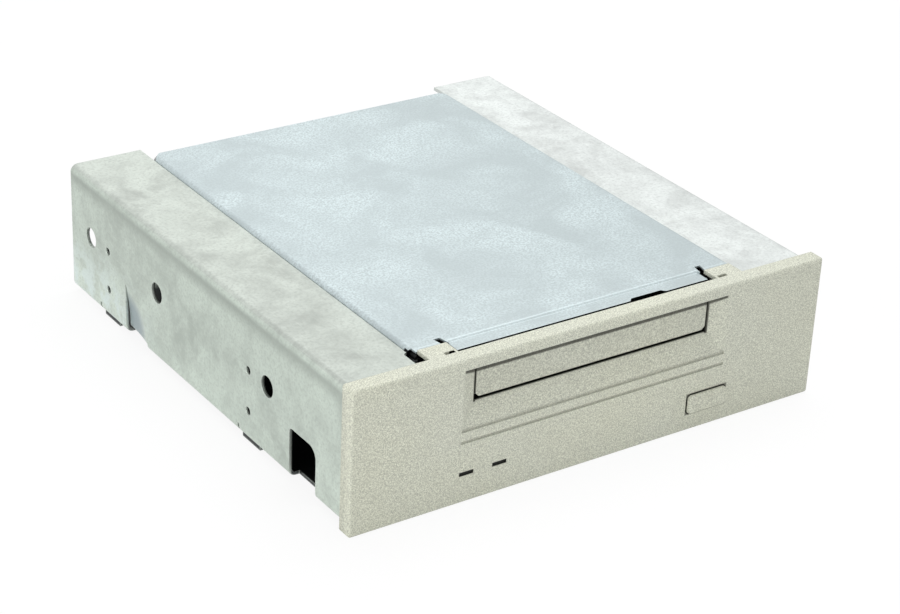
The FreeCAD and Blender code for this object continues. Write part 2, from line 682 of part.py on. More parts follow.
def make_cover():
    """The drive's pressed top cover, with rolled sides and a stepped-down front lip."""
    cover = Piece("top_cover")
    sheet_in = S.cover_sheet
    low = S.drive_top - S.cover_flange
    section = [
        (HALF_DRIVE, low), (HALF_DRIVE, S.drive_top), (-HALF_DRIVE, S.drive_top),
        (-HALF_DRIVE, low), (sheet_in - HALF_DRIVE, low),
        (sheet_in - HALF_DRIVE, COVER_UNDER), (HALF_DRIVE - sheet_in, COVER_UNDER),
        (HALF_DRIVE - sheet_in, low),
    ]
    cover.pad("XZ", S.drive_front, S.drive_rear, path(*section))
    cover.round("Y", [(-HALF_DRIVE, S.drive_top), (HALF_DRIVE, S.drive_top)], S.cover_bend)
    cover.round("Y", [(sheet_in - HALF_DRIVE, COVER_UNDER), (HALF_DRIVE - sheet_in, COVER_UNDER)],
                S.cover_bend - sheet_in)
    # the front lip steps down and reaches under the bezel's back edge
    lip = TAB_INNER - S.gap * 4
    step = S.lip_drop
    cover.cut("XY", COVER_UNDER, S.drive_top,
              box(-lip, lip, S.drive_front, S.lip_end + sheet_in))
    cover.pad("YZ", -lip, lip,
              path((S.lip_front, COVER_UNDER - step), (S.lip_end, COVER_UNDER - step),
                   (S.lip_end + sheet_in, COVER_UNDER), (S.lip_end + sheet_in, S.drive_top),
                   (S.lip_end, S.drive_top), (S.lip_end - sheet_in, S.drive_top - step),
                   (S.lip_front, S.drive_top - step)))
    bridge = S.lip_bridge_left
    cover.pad("XY", COVER_UNDER - step, S.drive_top - step,
              box(bridge, bridge + S.lip_bridge_width, S.slot_frame_depth + S.gap, S.lip_end))
    # a shallow notch with slanting ends, and the outer corners cleared for the tabs
    left, right = S.lip_notch_left, S.lip_notch_left + S.lip_notch_width
    deep = S.lip_front + S.lip_notch_depth
    cover.cut("XY", COVER_UNDER - step, S.drive_top - step,
              path((left, S.lip_front), (right, S.lip_front),
                   (right - S.lip_notch_depth, deep), (left + S.lip_notch_depth, deep)))
    behind_tab = S.bezel_depth + S.tab_reach + S.gap
    for side in (-1, 1):
        cover.cut("XY", low, S.drive_top,
                  box(*across(lip, HALF_DRIVE, side), S.drive_front, behind_tab))
        # a leaning slot beside each tab
        lean = S.corner_slot_lean * side
        inner, outer = across(lip, lip + S.corner_slot_width, side)
        cover.cut("XY", COVER_UNDER, S.drive_top,
                  path((inner, S.corner_slot_front), (outer, S.corner_slot_front),
                       (outer + lean, S.corner_slot_rear), (inner + lean, S.corner_slot_rear)))
        corner = HALF_DRIVE * side
        cover.cut("XY", low, S.drive_top,
                  path((corner, S.drive_rear), (corner - S.cover_clip * side, S.drive_rear),
                       (corner, S.drive_rear - S.cover_clip)))
    # the left corner is cut back further, in line with the notch in the bracket
    cover.cut("XY", low, S.drive_top,
              box(-HALF_DRIVE, S.edge_notch_width - HALF_DRIVE, behind_tab, S.edge_notch_rear))
    return cover


def make_chassis():
    """The cast frame: four walls, bosses between board and deck, and rear cut-outs."""
    chassis = Piece("drive_chassis")
    wall = S.chassis_wall
    chassis.pad("XY", 0, S.chassis_wall_top,
                box(-HALF_DRIVE, HALF_DRIVE, S.drive_front, S.drive_rear),
                box(-CHASSIS_INSIDE, CHASSIS_INSIDE, S.drive_front + wall,
                    S.drive_rear - wall))
    rise = HALF_DRIVE - S.cover_sheet - S.gap
    rise_front = S.bezel_depth + S.tab_reach + S.gap
    chassis.pad("XY", S.chassis_wall_top, COVER_UNDER,
                path((-rise, rise_front), (-CHASSIS_INSIDE, rise_front),
                     (-CHASSIS_INSIDE, S.drive_rear - wall),
                     (CHASSIS_INSIDE, S.drive_rear - wall),
                     (CHASSIS_INSIDE, rise_front), (rise, rise_front),
                     (rise, S.drive_rear), (-rise, S.drive_rear)))
    chassis.chamfer("Y", [(-rise, COVER_UNDER), (rise, COVER_UNDER)],
                    S.cover_bend - S.cover_sheet)
    # the front is open above the cassette sill, and for the button, lamps and pipes
    button_room = S.button_width / 2 + S.button_flange + S.gap
    chassis.cut("XZ", S.drive_front, S.drive_front + wall,
                box(-CHASSIS_INSIDE, CHASSIS_INSIDE, S.tray_bottom - S.gap,
                    S.chassis_wall_top),
                box(-S.window_left - wall, -S.window_left + S.window_pitch * 2,
                    BOARD_TOP, S.deck_bottom),
                box(S.button_x - button_room, S.button_x + button_room,
                    BOARD_TOP, S.deck_bottom))
    # connector cut-out in the rear wall
    chassis.cut("XZ", S.drive_rear - wall, S.drive_rear,
                box(S.connector_left - S.gap, S.connector_right + S.gap,
                    BOARD_TOP, S.connector_top + S.gap))
    # bosses that carry the board below and the deck above
    for y in boss_rows():
        for side in (-1, 1):
            chassis.pad("XY", BOARD_TOP, S.deck_bottom,
                        box(*across(CHASSIS_INSIDE - S.boss, CHASSIS_INSIDE, side),
                            y - S.boss / 2, y + S.boss / 2))
    chassis.cut("XY", BOARD_TOP, S.deck_bottom,
                *[circle((CHASSIS_INSIDE - S.boss / 2) * side, y, S.screw_radius + S.fit)
                  for y in boss_rows() for side in (-1, 1)])
    # tapped holes for the bracket screws
    for side in (-1, 1):
        chassis.cut("YZ", *across(CHASSIS_INSIDE, HALF_DRIVE, side),
                    *[circle(y, S.access_height, S.screw_radius + S.fit)
                      for y in SCREW_ROWS])
    return chassis


def boss_rows():
    """Y of the bosses: one row near each end and one between them."""
    first = S.deck_front + S.boss
    last = S.deck_rear - S.boss
    return [first, (first + last) / 2, last]


def screw(at, direction, length, head_radius, head_height):
    """A pan-head screw with its head's seat at a point and its shank along a direction."""
    back = direction * -1
    body = Part.makeCylinder(float(S.screw_radius), float(length), at, direction)
    head = Part.makeCylinder(float(head_radius), float(head_height), at, back)
    recess_depth = float(head_height) * CROSS_DEPTH
    bit = float(head_radius) * CROSS_REACH
    blade = float(head_radius) * CROSS_WIDTH
    top = at + back * float(head_height)
    turn = FreeCAD.Rotation(FreeCAD.Vector(0, 0, 1), direction)
    for angle in (0, 90):
        arm = Part.makeBox(bit * 2, blade, recess_depth)
        arm.translate(FreeCAD.Vector(-bit, -blade / 2, 0))
        arm.rotate(FreeCAD.Vector(0, 0, 0), FreeCAD.Vector(0, 0, 1), angle)
        arm.Placement = FreeCAD.Placement(top, turn).multiply(arm.Placement)
        head = head.cut(arm)
    return body.fuse(head)


def make_screws():
    seat = HALF_DRIVE + S.bracket_gap + S.bracket_sheet
    shank = S.bracket_sheet + S.bracket_gap + S.chassis_wall
    group("bracket_screws", [
        screw(vector(seat * side, y, S.access_height), vector(-side, 0, 0), shank,
              S.screw_head_radius, S.screw_head_height)
        for side in (-1, 1) for y in SCREW_ROWS])
    x = CHASSIS_INSIDE - S.boss / 2
    for label, level, direction in (("deck_screws", DECK_TOP, -1),
                                    ("board_screws", S.board_bottom, 1)):
        thickness = S.deck_thickness if direction < 0 else S.board_thickness
        group(label, [
            screw(vector(x * side, y, level), vector(0, 0, direction),
                  thickness + S.gap * 4, S.small_head_radius, S.small_head_height)
            for side in (-1, 1) for y in boss_rows()])


# ---------------------------------------------------------------- circuit board

def make_board():
    board = Piece("circuit_board")
    half = CHASSIS_INSIDE - S.board_margin
    board.pad("XY", S.board_bottom, BOARD_TOP, box(-half, half, S.board_front, S.board_rear))
    x = CHASSIS_INSIDE - S.boss / 2
    board.cut("XY", S.board_bottom, BOARD_TOP,
              *[circle(x * side, y, S.screw_radius + S.screw_clearance)
                for side in (-1, 1) for y in boss_rows()])
    return board


def make_chips():
    """The board's larger packages: x, y, width and length in steps of the pin pitch."""
    layout = [(-8, 16, 8, 8), (6, 14, 6, 5), (-8, 31, 6, 8), (4, 29, 4, 7),
              (13, 24, 3, 5), (-13, 44, 4, 6), (6, 46, 7, 4)]
    chips = []
    for place in layout:
        x, y, width, length = (float(S.pin_pitch * steps) for steps in place)
        chip = Part.makeBox(width, length, float(S.chip_height),
                            vector(x - width / 2, y - length / 2, BOARD_TOP))
        top = [e for e in chip.Edges if e.BoundBox.ZMin > float(BOARD_TOP + S.chip_height) - 1e-6]
        chips.append(chip.makeChamfer(float(S.chip_height) / 5, top))
    group("board_chips", chips)


def make_rear_connectors():
    """The 50-pin header, the four-pin power socket and a small option header."""
    rows = (0, 1)
    shroud = Piece("data_header")
    length = (S.header_pin_count + 1) * S.pin_pitch
    front = S.drive_rear - S.header_depth
    wall = S.pin_pitch / 2
    high = BOARD_TOP + S.header_height
    shroud.pad("XZ", front, S.drive_rear,
               box(S.connector_left, S.connector_left + length, BOARD_TOP, high))
    shroud.cut("XZ", front + wall, S.drive_rear,
               box(S.connector_left + wall, S.connector_left + length - wall,
                   BOARD_TOP + wall, high - wall))
    middle = S.connector_left + length / 2
    shroud.cut("XZ", front + wall * 2, S.drive_rear,
               box(middle - S.pin_pitch, middle + S.pin_pitch, high - wall, high))
    centre_z = (BOARD_TOP + high) / 2
    square = float(S.pin_square)

    def pins(left, count, y_low, y_high, z_middle):
        made = []
        for row in rows:
            for number in range(int(float(count))):
                x = float(left + S.pin_pitch * number)
                z = float(z_middle) + (row - 0.5) * float(S.pin_pitch)
                made.append(Part.makeBox(square, float(y_high - y_low), square,
                                         vector(x - square / 2, y_low, z - square / 2)))
        return made

    first = S.connector_left + S.pin_pitch
    group("data_pins", pins(first, S.header_pin_count, front + wall, S.drive_rear - wall, centre_z))

    option = Piece("option_header")
    option_left = S.connector_left + length + S.gap * 2
    option_length = S.pin_pitch * S.option_pin_count
    option_front = front + wall * 2
    option.pad("XZ", option_front, option_front + S.pin_pitch,
               box(option_left, option_left + option_length, BOARD_TOP,
                   BOARD_TOP + S.pin_pitch * 2))
    group("option_pins", pins(option_left + S.pin_pitch / 2, S.option_pin_count,
                              option_front + S.pin_pitch, S.drive_rear - wall,
                              BOARD_TOP + S.pin_pitch))

    power = Piece("power_socket")
    right = S.connector_right
    left = right - S.power_width
    top = S.connector_top
    power.pad("XZ", front, S.drive_rear, box(left, right, BOARD_TOP, top))
    power.chamfer("Y", [(left, top), (right, top)], S.pin_pitch / 2)
    power.cut("XZ", front + wall, S.drive_rear,
              box(left + wall, right - wall, BOARD_TOP + wall, top - wall))
    contacts = []
    pitch = float(S.power_width - wall * 2) / 4
    for number in range(4):
        x = float(left + wall) + pitch * (number + 0.5)
        pin = Part.makeCylinder(float(S.power_pin_radius), float(S.header_depth - wall * 2),
                                vector(x, front + wall, (BOARD_TOP + top) / 2),
                                FreeCAD.Vector(0, 1, 0))
        contacts.append(pin)
    group("power_pins", contacts)


# ---------------------------------------------------------------- mechanism deck

def make_deck():
    """The steel plate that every part of the cassette mechanism stands on."""
    deck = Piece("mechanism_deck")
    half = CHASSIS_INSIDE - S.gap
    deck.pad("XY", S.deck_bottom, DECK_TOP, box(-half, half, S.deck_front, S.deck_rear))
    deck.cut("XY", S.deck_bottom, DECK_TOP,
             box(S.connector_right - S.power_width - S.gap * 2, half,
                 S.drive_rear - S.header_depth - S.boss / 2, S.deck_rear))
    x = CHASSIS_INSIDE - S.boss / 2
    deck.cut("XY", S.deck_bottom, DECK_TOP,
             *[circle(x * side, y, S.screw_radius + S.screw_clearance)
               for side in (-1, 1) for y in boss_rows()],
             circle(S.capstan_x, S.capstan_y, S.capstan_radius + S.gap * 6))
    # tracks in which the threading guides run
    for start, end in guide_runs():
        deck.cut("XY", S.deck_bottom, DECK_TOP, track(start, end, S.track_width / 2))
    return deck


def guide_runs():
    """Start and end of each threading guide's travel."""
    return [
        ((-S.guide_start_x, S.guide_start_y), (-S.entry_end_x, S.guide_end_y)),
        ((S.guide_start_x, S.guide_start_y), (S.exit_end_x, S.guide_end_y)),
    ]


def track(start, end, half_width):
    """A four-sided outline round a straight run, a little longer than the run."""
    (x0, y0), (x1, y1) = start, end
    extra = half_width * 2
    slope = (x1 - x0) / (y1 - y0)
    low_y, high_y = y0 - extra, y1 + extra
    low_x, high_x = x0 - slope * extra, x1 + slope * extra
    return path((low_x - half_width, low_y), (low_x + half_width, low_y),
                (high_x + half_width, high_y), (high_x - half_width, high_y))


# ---------------------------------------------------------------- cassette loading

RAIL_IN = S.cassette_half_width + S.tray_sheet + S.gap
RAIL_OUT = RAIL_IN + S.rail_sheet
PLATE_IN = RAIL_OUT + S.gap
PLATE_OUT = PLATE_IN + S.plate_sheet
SLIDER_IN = PLATE_OUT + S.gap
SLIDER_OUT = SLIDER_IN + S.plate_sheet
TRAY_TOP = S.cassette_ceiling + S.tray_sheet
PITCH_RADIUS = S.gear_module * S.pinion_teeth / 2
TIP_RADIUS = PITCH_RADIUS + S.gear_module
SHAFT_HEIGHT = DECK_TOP + S.gap + TIP_RADIUS
RACK_PITCH_LINE = SHAFT_HEIGHT + PITCH_RADIUS + S.fit
RACK_ROOT = RACK_PITCH_LINE + S.gear_module * TOOTH_DEPTH
PLATE_TOP = TRAY_TOP - S.rail_sheet
TOOTH_PITCH = S.gear_module * math.pi
LOADER_RADIUS = S.gear_module * S.loader_teeth / 2
LOADER_X = PITCH_RADIUS + S.fit + S.gear_module * TOOTH_DEPTH - SLIDER_IN
ARM_TOP = RACK_ROOT + S.arm_height
RACK_TEETH = 3 + math.ceil(float(S.slider_travel / TOOTH_PITCH))


def make_tray():
    """The channel that holds the cassette by its sides, open below and at the back."""
    tray = Piece("cassette_tray")
    half = S.cassette_half_width
    skin = S.tray_sheet
    rear = S.tray_front + S.tray_length
    outline = [
        (half + skin, S.tray_bottom), (half + skin, TRAY_TOP), (-half - skin, TRAY_TOP),
        (-half - skin, S.tray_bottom), (S.tray_lip - half, S.tray_bottom),
        (S.tray_lip - half, S.tray_bottom + skin), (-half, S.tray_bottom + skin),
        (-half, S.cassette_ceiling), (half, S.cassette_ceiling),
        (half, S.tray_bottom + skin), (half - S.tray_lip, S.tray_bottom + skin),
        (half - S.tray_lip, S.tray_bottom),
    ]
    tray.pad("XZ", S.tray_front, rear, path(*outline))
    for side in (-1, 1):
        # a stop at the back of each lip
        stop = across(half - S.tray_lip, half, side)
        tray.pad("XZ", rear - skin, rear,
                 box(stop[0], stop[1], S.tray_bottom, S.cassette_ceiling))
        # two tabs that run in each rail
        tab = across(half + skin, RAIL_OUT - S.fit * 2, side)
        for y in tab_rows():
            tray.pad("XY", tab_height(), tab_height() + S.tab_thickness,
                     box(tab[0], tab[1], y, y + S.tray_lip))
    # windows that lighten the top plate
    window = S.tray_window_half
    for number in (0, 1):
        low = S.tray_front + S.tray_window_front + S.tray_window_pitch * number
        tray.cut("XY", S.cassette_ceiling, TRAY_TOP,
                 soft_box(-window, window, low, low + S.tray_window_length, S.tray_lip / 2))
    return tray


def tab_rows():
    """Front edges of the tray's tabs."""
    return [S.tray_front + S.tray_lip, S.tray_front + S.tray_length - S.tray_tab_inset]


def tab_height():
    return S.tray_bottom + S.tray_tab_rise


def make_lift_frame():
    """Two rails joined over the tray, with pins that the sliders lower."""
    frame = Piece("lift_frame")
    front, rear = S.tray_front + S.tray_lip / 2, S.tray_front + S.tray_length + S.tray_feed
    strap_low = TRAY_TOP + S.gap
    strap_high = strap_low + S.tray_sheet
    strap_front = S.reel_y - S.tray_feed
    strap_rear = strap_front + S.strap_width
    for side in (-1, 1):
        rail = across(RAIL_IN, RAIL_OUT, side)
        frame.pad("YZ", rail[0], rail[1],
                  path((front, S.tray_bottom), (rear, S.tray_bottom), (rear, TRAY_TOP),
                       (strap_rear, TRAY_TOP), (strap_rear, strap_high),
                       (strap_front, strap_high), (strap_front, TRAY_TOP),
                       (front, TRAY_TOP)))
        if side < 0:
            frame.pad("XY", strap_low, strap_high,
                      box(-RAIL_OUT, RAIL_OUT, strap_front, strap_rear))
    for side in (-1, 1):
        rail = across(RAIL_IN, RAIL_OUT, side)
        frame.cut("YZ", rail[0], rail[1],
                  *[box(y - S.gap, y + S.tray_lip + S.tray_feed + S.gap,
                        tab_height() - S.fit * 2, tab_height() + S.tab_thickness + S.fit * 2)
                    for y in tab_rows()])
        pin = across(RAIL_OUT, SLIDER_OUT + S.gap, side)
        frame.pad("YZ", pin[0], pin[1],
                  circle(S.lift_pin_front, S.lift_pin_height, S.lift_pin_radius),
                  circle(S.lift_pin_rear, S.lift_pin_height, S.lift_pin_radius))
    return frame


def make_guide_plate(label, side):
    """The fixed plate beside the tray: it guides the pins and carries the cross shaft."""
    plate = Piece(label)
    skin = across(PLATE_IN, PLATE_OUT, side)
    front = S.slider_front
    rear = S.lift_pin_rear + S.slider_travel
    plate.pad("YZ", skin[0], skin[1], box(front, rear, DECK_TOP, PLATE_TOP))
    foot = across(PLATE_IN - S.foot_width, PLATE_IN, side)
    for y in (front, rear - S.foot_length):
        plate.pad("XY", DECK_TOP, DECK_TOP + S.plate_sheet,
                  box(foot[0], foot[1], y, y + S.foot_length))
    wide = S.lift_pin_radius + S.slot_clearance
    plate.cut("YZ", skin[0], skin[1],
              *[box(y - wide, y + wide, S.lift_pin_height - S.lift_travel - wide,
                    S.lift_pin_height + wide) for y in (S.lift_pin_front, S.lift_pin_rear)],
              circle(S.shaft_y, SHAFT_HEIGHT, S.shaft_radius + S.fit))
    stud = across(PLATE_OUT, SLIDER_OUT + S.gap, side)
    plate.pad("YZ", stud[0], stud[1], circle(stud_y(), S.lift_pin_height + S.fit,
                                             S.lift_pin_radius))
    head = across(SLIDER_OUT + S.gap, SLIDER_OUT + S.gap + S.plate_sheet / 2, side)
    plate.pad("YZ", head[0], head[1], circle(stud_y(), S.lift_pin_height + S.fit,
                                             S.lift_pin_radius * 2))
    return plate


def stud_y():
    """Y of the stud that keeps a slider on its guide plate."""
    return S.lift_pin_front + S.slider_travel + S.stud_setback


def make_slider(label, side):
    """The sliding cam plate: slanted slots lower the pins and a rack ties both sides."""
    slider = Piece(label)
    skin = across(SLIDER_IN, SLIDER_OUT, side)
    rear = S.slider_front + S.slider_length
    slider.pad("YZ", skin[0], skin[1], box(S.slider_front, rear, RACK_ROOT, S.slider_top))
    wide = S.lift_pin_radius + S.slot_clearance
    slope = S.lift_travel / S.slider_travel
    tall = wide * math.sqrt(1 + float(slope) ** 2)
    for y in (S.lift_pin_front, S.lift_pin_rear):
        top, low = S.lift_pin_height + tall, S.lift_pin_height - tall
        start, end = y - wide, y + S.slider_travel + wide
        rise = slope * wide
        fall = slope * (S.slider_travel + wide)
        slider.cut("YZ", skin[0], skin[1],
                   path((start, low + rise), (end, low - fall), (end, top - fall),
                        (start, top + rise)))
    # the level slot for the plate's stud
    slider.cut("YZ", skin[0], skin[1],
               box(stud_y() - wide, stud_y() + S.slider_travel + wide,
                   S.lift_pin_height + S.fit - wide, S.lift_pin_height + S.fit + wide))
    # rack teeth along the lower edge, for the cross shaft
    first = S.shaft_y - TOOTH_PITCH
    tip = RACK_PITCH_LINE - S.gear_module
    add_rack(slider, "YZ", *skin, tooth_outline(first, tip, RACK_ROOT + S.fit))
    if side < 0:
        # an arm reaches back to the loading wheel, with teeth on its inner face
        first = S.loader_y - TOOTH_PITCH
        last = first + TOOTH_PITCH * (RACK_TEETH - 1)
        slider.pad("YZ", *skin, box(rear - S.plate_sheet, last + TOOTH_PITCH / 2,
                                    RACK_ROOT, ARM_TOP))
        tip = LOADER_X - PITCH_RADIUS - S.fit + S.gear_module
        profile = tooth_outline(first, tip, -SLIDER_IN - S.fit, flipped=True)
        add_rack(slider, "XY", RACK_ROOT, ARM_TOP, profile)
    return slider


def tooth_outline(middle, tip, root, flipped=False):
    """A rack tooth; flipped swaps the direction along the rack and the one across it."""
    half_root, half_tip = TOOTH_PITCH * RACK_ROOT_SHARE, TOOTH_PITCH * RACK_TIP_SHARE
    corners = [(middle - half_tip, tip), (middle + half_tip, tip),
               (middle + half_root, root), (middle - half_root, root)]
    return path(*[corner[::-1] if flipped else corner for corner in corners])


def add_rack(slider, plane, low, high, outline):
    """One tooth, repeated backwards along the slider."""
    tooth = slider.pad(plane, low, high, outline)
    rack = slider.body.newObject("PartDesign::LinearPattern", slider.body.Label + "_rack")
    rack.Originals = [tooth]
    axis = [f for f in slider.body.Origin.OriginFeatures if f.Role == "Y_Axis"][0]
    rack.Direction = (axis, [""])
    rack.Occurrences = RACK_TEETH
    bind(rack, "Length", TOOTH_PITCH * (RACK_TEETH - 1))
    slider.body.Tip = rack
    doc.recompute()


def gear(teeth, turn, at, axis, width):
    """A toothed wheel with its low face at a point: teeth are trapezoids, thinned for
    backlash, and the first points along the angle turn."""
    module = S.gear_module
    pitch_radius = module * teeth / 2
    root, tip = pitch_radius - module * TOOTH_DEPTH, pitch_radius + module * TOOTH_TIP
    profile = ((root, -GEAR_ROOT_SHARE), (tip, -GEAR_TIP_SHARE),
               (tip, GEAR_TIP_SHARE), (root, GEAR_ROOT_SHARE))
    step = 2 * math.pi / float(teeth)
    ring = []
    for number in range(int(float(teeth))):
        for radius, share in profile:
            angle = (number + share) * step + turn
            a, b = radius * math.cos(angle), radius * math.sin(angle)
            ring.append(at + (vector(0, a, b) if axis == "X" else vector(a, b, 0)))
    along = vector(width, 0, 0) if axis == "X" else vector(0, 0, width)
    return Part.Face(Part.makePolygon(ring + ring[:1])).extrude(along)


def make_cross_shaft():
    """The shaft that keeps the two sliders in step, and its two pinions."""
    shaft = Piece("sync_shaft")
    end = SLIDER_OUT + S.gap
    shaft.pad("YZ", -end, end, circle(S.shaft_y, SHAFT_HEIGHT, S.shaft_radius))
    pinions = []
    width = S.pinion_width
    gap_up = math.pi / 2 + math.pi / float(S.pinion_teeth)
    for side in (-1, 1):
        middle = (SLIDER_IN + SLIDER_OUT) / 2 * side
        at = vector(middle - width / 2, S.shaft_y, SHAFT_HEIGHT)
        bore = Part.makeCylinder(float(S.shaft_radius), float(width), at,
                                 FreeCAD.Vector(1, 0, 0))
        pinions.append(gear(S.pinion_teeth, gap_up, at, "X", width).cut(bore))
    group("sync_pinions", pinions)
    return shaft


# ---------------------------------------------------------------- tape path

def make_drum():
    """The tilted head drum: a fixed lower half with its shaft, and a turning upper half."""
    def tilted(kind, label, radius, low, height):
        thing = doc.addObject(kind, label)
        thing.Label = label
        bind(thing, "Radius", radius)
        bind(thing, "Height", height)
        lean = math.radians(float(S.drum_tilt))
        low = as_size(low)
        thing.Placement.Rotation = FreeCAD.Rotation(FreeCAD.Vector(1, 0, 0),
                                                    -float(S.drum_tilt))
        stand(thing, S.drum_x, S.drum_y + low * math.sin(lean),
              DECK_TOP + low * math.cos(lean))
        return thing

    def boolean(kind, label, base, tool):
        thing = doc.addObject(kind, label)
        thing.Label = label
        thing.Base, thing.Tool = base, tool
        return thing

    sunk = S.deck_thickness * 2
    body = tilted("Part::Cylinder", "drum_body", S.drum_radius, -sunk,
                  S.drum_base_height + sunk)
    below = doc.addObject("Part::Box", "below_deck")
    for name, value in (("Length", S.drum_radius * 4), ("Width", S.drum_radius * 4),
                        ("Height", DECK_TOP)):
        bind(below, name, value)
    stand(below, S.drum_x - S.drum_radius * 2, S.drum_y - S.drum_radius * 2, 0)
    flat = boolean("Part::Cut", "drum_on_deck", body, below)
    axle = tilted("Part::Cylinder", "drum_axle", S.drum_shaft_radius,
                  S.drum_base_height - 1, S.drum_rotor_height)
    base = boolean("Part::Fuse", "drum_base", flat, axle)
    pieces.append(base)

    rotor = tilted("Part::Cylinder", "rotor_body", S.drum_radius,
                   S.drum_base_height + S.gap, S.drum_rotor_height)
    bore = tilted("Part::Cylinder", "rotor_bore", S.drum_shaft_radius + S.fit,
                  S.drum_base_height, S.drum_rotor_height + 1)
    ring = boolean("Part::Cut", "rotor_ring", rotor, bore)
    dish = tilted("Part::Cylinder", "rotor_dish", S.drum_dish_radius,
                  S.drum_base_height + S.gap + S.drum_rotor_height - S.drum_dish_depth,
                  S.drum_rotor_height)
    pieces.append(boolean("Part::Cut", "drum_rotor", ring, dish))


def make_capstan():
    bearing = Piece("capstan_bearing", S.capstan_x, S.capstan_y)
    top = DECK_TOP + S.bearing_height
    bearing.pad("XY", DECK_TOP, DECK_TOP + S.plate_sheet, circle(0, 0, S.bearing_flange))
    bearing.pad("XY", DECK_TOP, top, circle(0, 0, S.bearing_radius))
    bearing.cut("XY", DECK_TOP, top, circle(0, 0, S.capstan_radius + S.fit))
    capstan = Piece("capstan", S.capstan_x, S.capstan_y)
    wheel_top = S.deck_bottom - S.gap * 4
    capstan.pad("XY", wheel_top - S.flywheel_thickness, wheel_top,
                circle(0, 0, S.flywheel_radius))
    capstan.pad("XY", wheel_top - S.flywheel_thickness, S.guide_top + S.capstan_radius,
                circle(0, 0, S.capstan_radius))
    return bearing, capstan


def make_pinch_roller():
    """A rubber roller on an arm that swings it against the capstan."""
    post = Piece("pinch_post", S.pivot_x, S.pivot_y)
    post.pad("XY", DECK_TOP, DECK_TOP + S.lift_pin_radius, circle(0, 0, S.shaft_radius * 2))
    post.pad("XY", DECK_TOP, DECK_TOP + S.boss * 2, circle(0, 0, S.shaft_radius))
    arm = Piece("pinch_arm", S.pivot_x, S.pivot_y)
    angle = math.radians(float(S.pinch_rest_angle))
    roller_x = S.pinch_arm_length * math.cos(angle)
    roller_y = S.pinch_arm_length * math.sin(angle)
    low = DECK_TOP + S.lift_pin_radius + S.gap
    high = low + S.shaft_radius
    arm.pad("XY", low, high,
            path((-S.shaft_radius * 2, 0), (roller_x - S.shaft_radius, roller_y),
                 (roller_x + S.shaft_radius, roller_y), (S.shaft_radius * 2, 0)))
    arm.pad("XY", low, high + S.boss / 2, circle(0, 0, S.shaft_radius * 2))
    arm.pad("XY", low, high, circle(roller_x, roller_y, S.shaft_radius + S.gap))
    arm.pad("XY", low, S.guide_top + S.capstan_radius,
            circle(roller_x, roller_y, S.pinch_axle_radius))
    arm.cut("XY", low, high + S.boss / 2, circle(0, 0, S.shaft_radius + S.fit))
    roller = Piece("pinch_roller", S.pivot_x + roller_x, S.pivot_y + roller_y)
    roller_low = high + S.boss / 2 + S.gap
    roller.pad("XY", roller_low, S.guide_top, circle(0, 0, S.pinch_radius))
    roller.cut("XY", roller_low, S.guide_top, circle(0, 0, S.pinch_axle_radius + S.fit))
    return arm, roller


def make_reels():
    """Reel tables with splined hubs on fixed posts."""
    posts = []
    for side, name in ((-1, "supply"), (1, "takeup")):
        x = S.reel_half_spacing * side
        posts.append(rod(x, S.reel_y, DECK_TOP, S.reel_hub_top - 1, S.shaft_radius))
        table = Piece(name + "_reel_table", x, S.reel_y)
        low = DECK_TOP + S.gap
        table.pad("XY", low, low + S.plate_sheet * 2, circle(0, 0, S.reel_radius))
        table.pad("XY", low, S.reel_hub_top, circle(0, 0, S.reel_hub_radius))
        spline = table.pad("XY", low, S.reel_hub_top - S.plate_sheet,
                           box(-S.reel_hub_radius - S.plate_sheet,
                               S.reel_hub_radius + S.plate_sheet,
                               -S.plate_sheet / 2, S.plate_sheet / 2))
        ring = table.body.newObject("PartDesign::PolarPattern", name + "_splines")
        ring.Originals = [spline]
        axis = [f for f in table.body.Origin.OriginFeatures if f.Role == "Z_Axis"][0]
        ring.Axis = (axis, [""])
        ring.Angle = 120
        ring.Occurrences = 3
        table.body.Tip = ring
        doc.recompute()
        table.cut("XY", low, S.reel_hub_top, circle(0, 0, S.shaft_radius + S.fit))
    group("reel_posts", posts)


def make_threading_guides():
    """Blocks that run in the deck's tracks and carry a roller on a post each."""
    for (start, _), name in zip(guide_runs(), ("entry", "exit")):
        block = Piece(name + "_guide", start[0], start[1])
        half = S.guide_block / 2
        low = DECK_TOP + S.fit * 2
        block.pad("XY", low, low + S.plate_sheet * 2, box(-half, half, -half, half))
        block.chamfer("Z", [(-half, -half), (half, -half), (half, half), (-half, half)],
                      S.plate_sheet)
        key = S.track_width / 2 - S.gap
        block.pad("XY", S.deck_bottom - S.plate_sheet, low, circle(0, 0, key))
        block.pad("XY", S.deck_bottom - S.plate_sheet, S.deck_bottom - S.fit * 4,
                  circle(0, 0, S.track_width - S.gap))
        block.pad("XY", low, S.guide_top - S.plate_sheet,
                  circle(0, 0, S.guide_post_radius))
        roller = Piece(name + "_roller", start[0], start[1])
        roller_low = low + S.plate_sheet * 2 + S.gap
        roller.pad("XY", roller_low, S.guide_top, circle(0, 0, S.guide_roller_radius))
        roller.cut("XY", roller_low, S.guide_top,
                   circle(0, 0, S.guide_post_radius + S.fit))


MOTOR_LOW = DECK_TOP + S.plate_sheet
MOTOR_TOP = MOTOR_LOW + S.motor_length
MOTOR_ANGLE = math.radians(float(S.motor_angle))
GEAR_DISTANCE = LOADER_RADIUS + PITCH_RADIUS + S.fit
MOTOR_X = LOADER_X + GEAR_DISTANCE * math.cos(MOTOR_ANGLE)
MOTOR_Y = S.loader_y + GEAR_DISTANCE * math.sin(MOTOR_ANGLE)
PINION_LOW = MOTOR_TOP + S.motor_boss_height + S.gap
WHEEL_LOW = PINION_LOW + S.gap
WHEEL_TOP = WHEEL_LOW + S.plate_sheet * 2


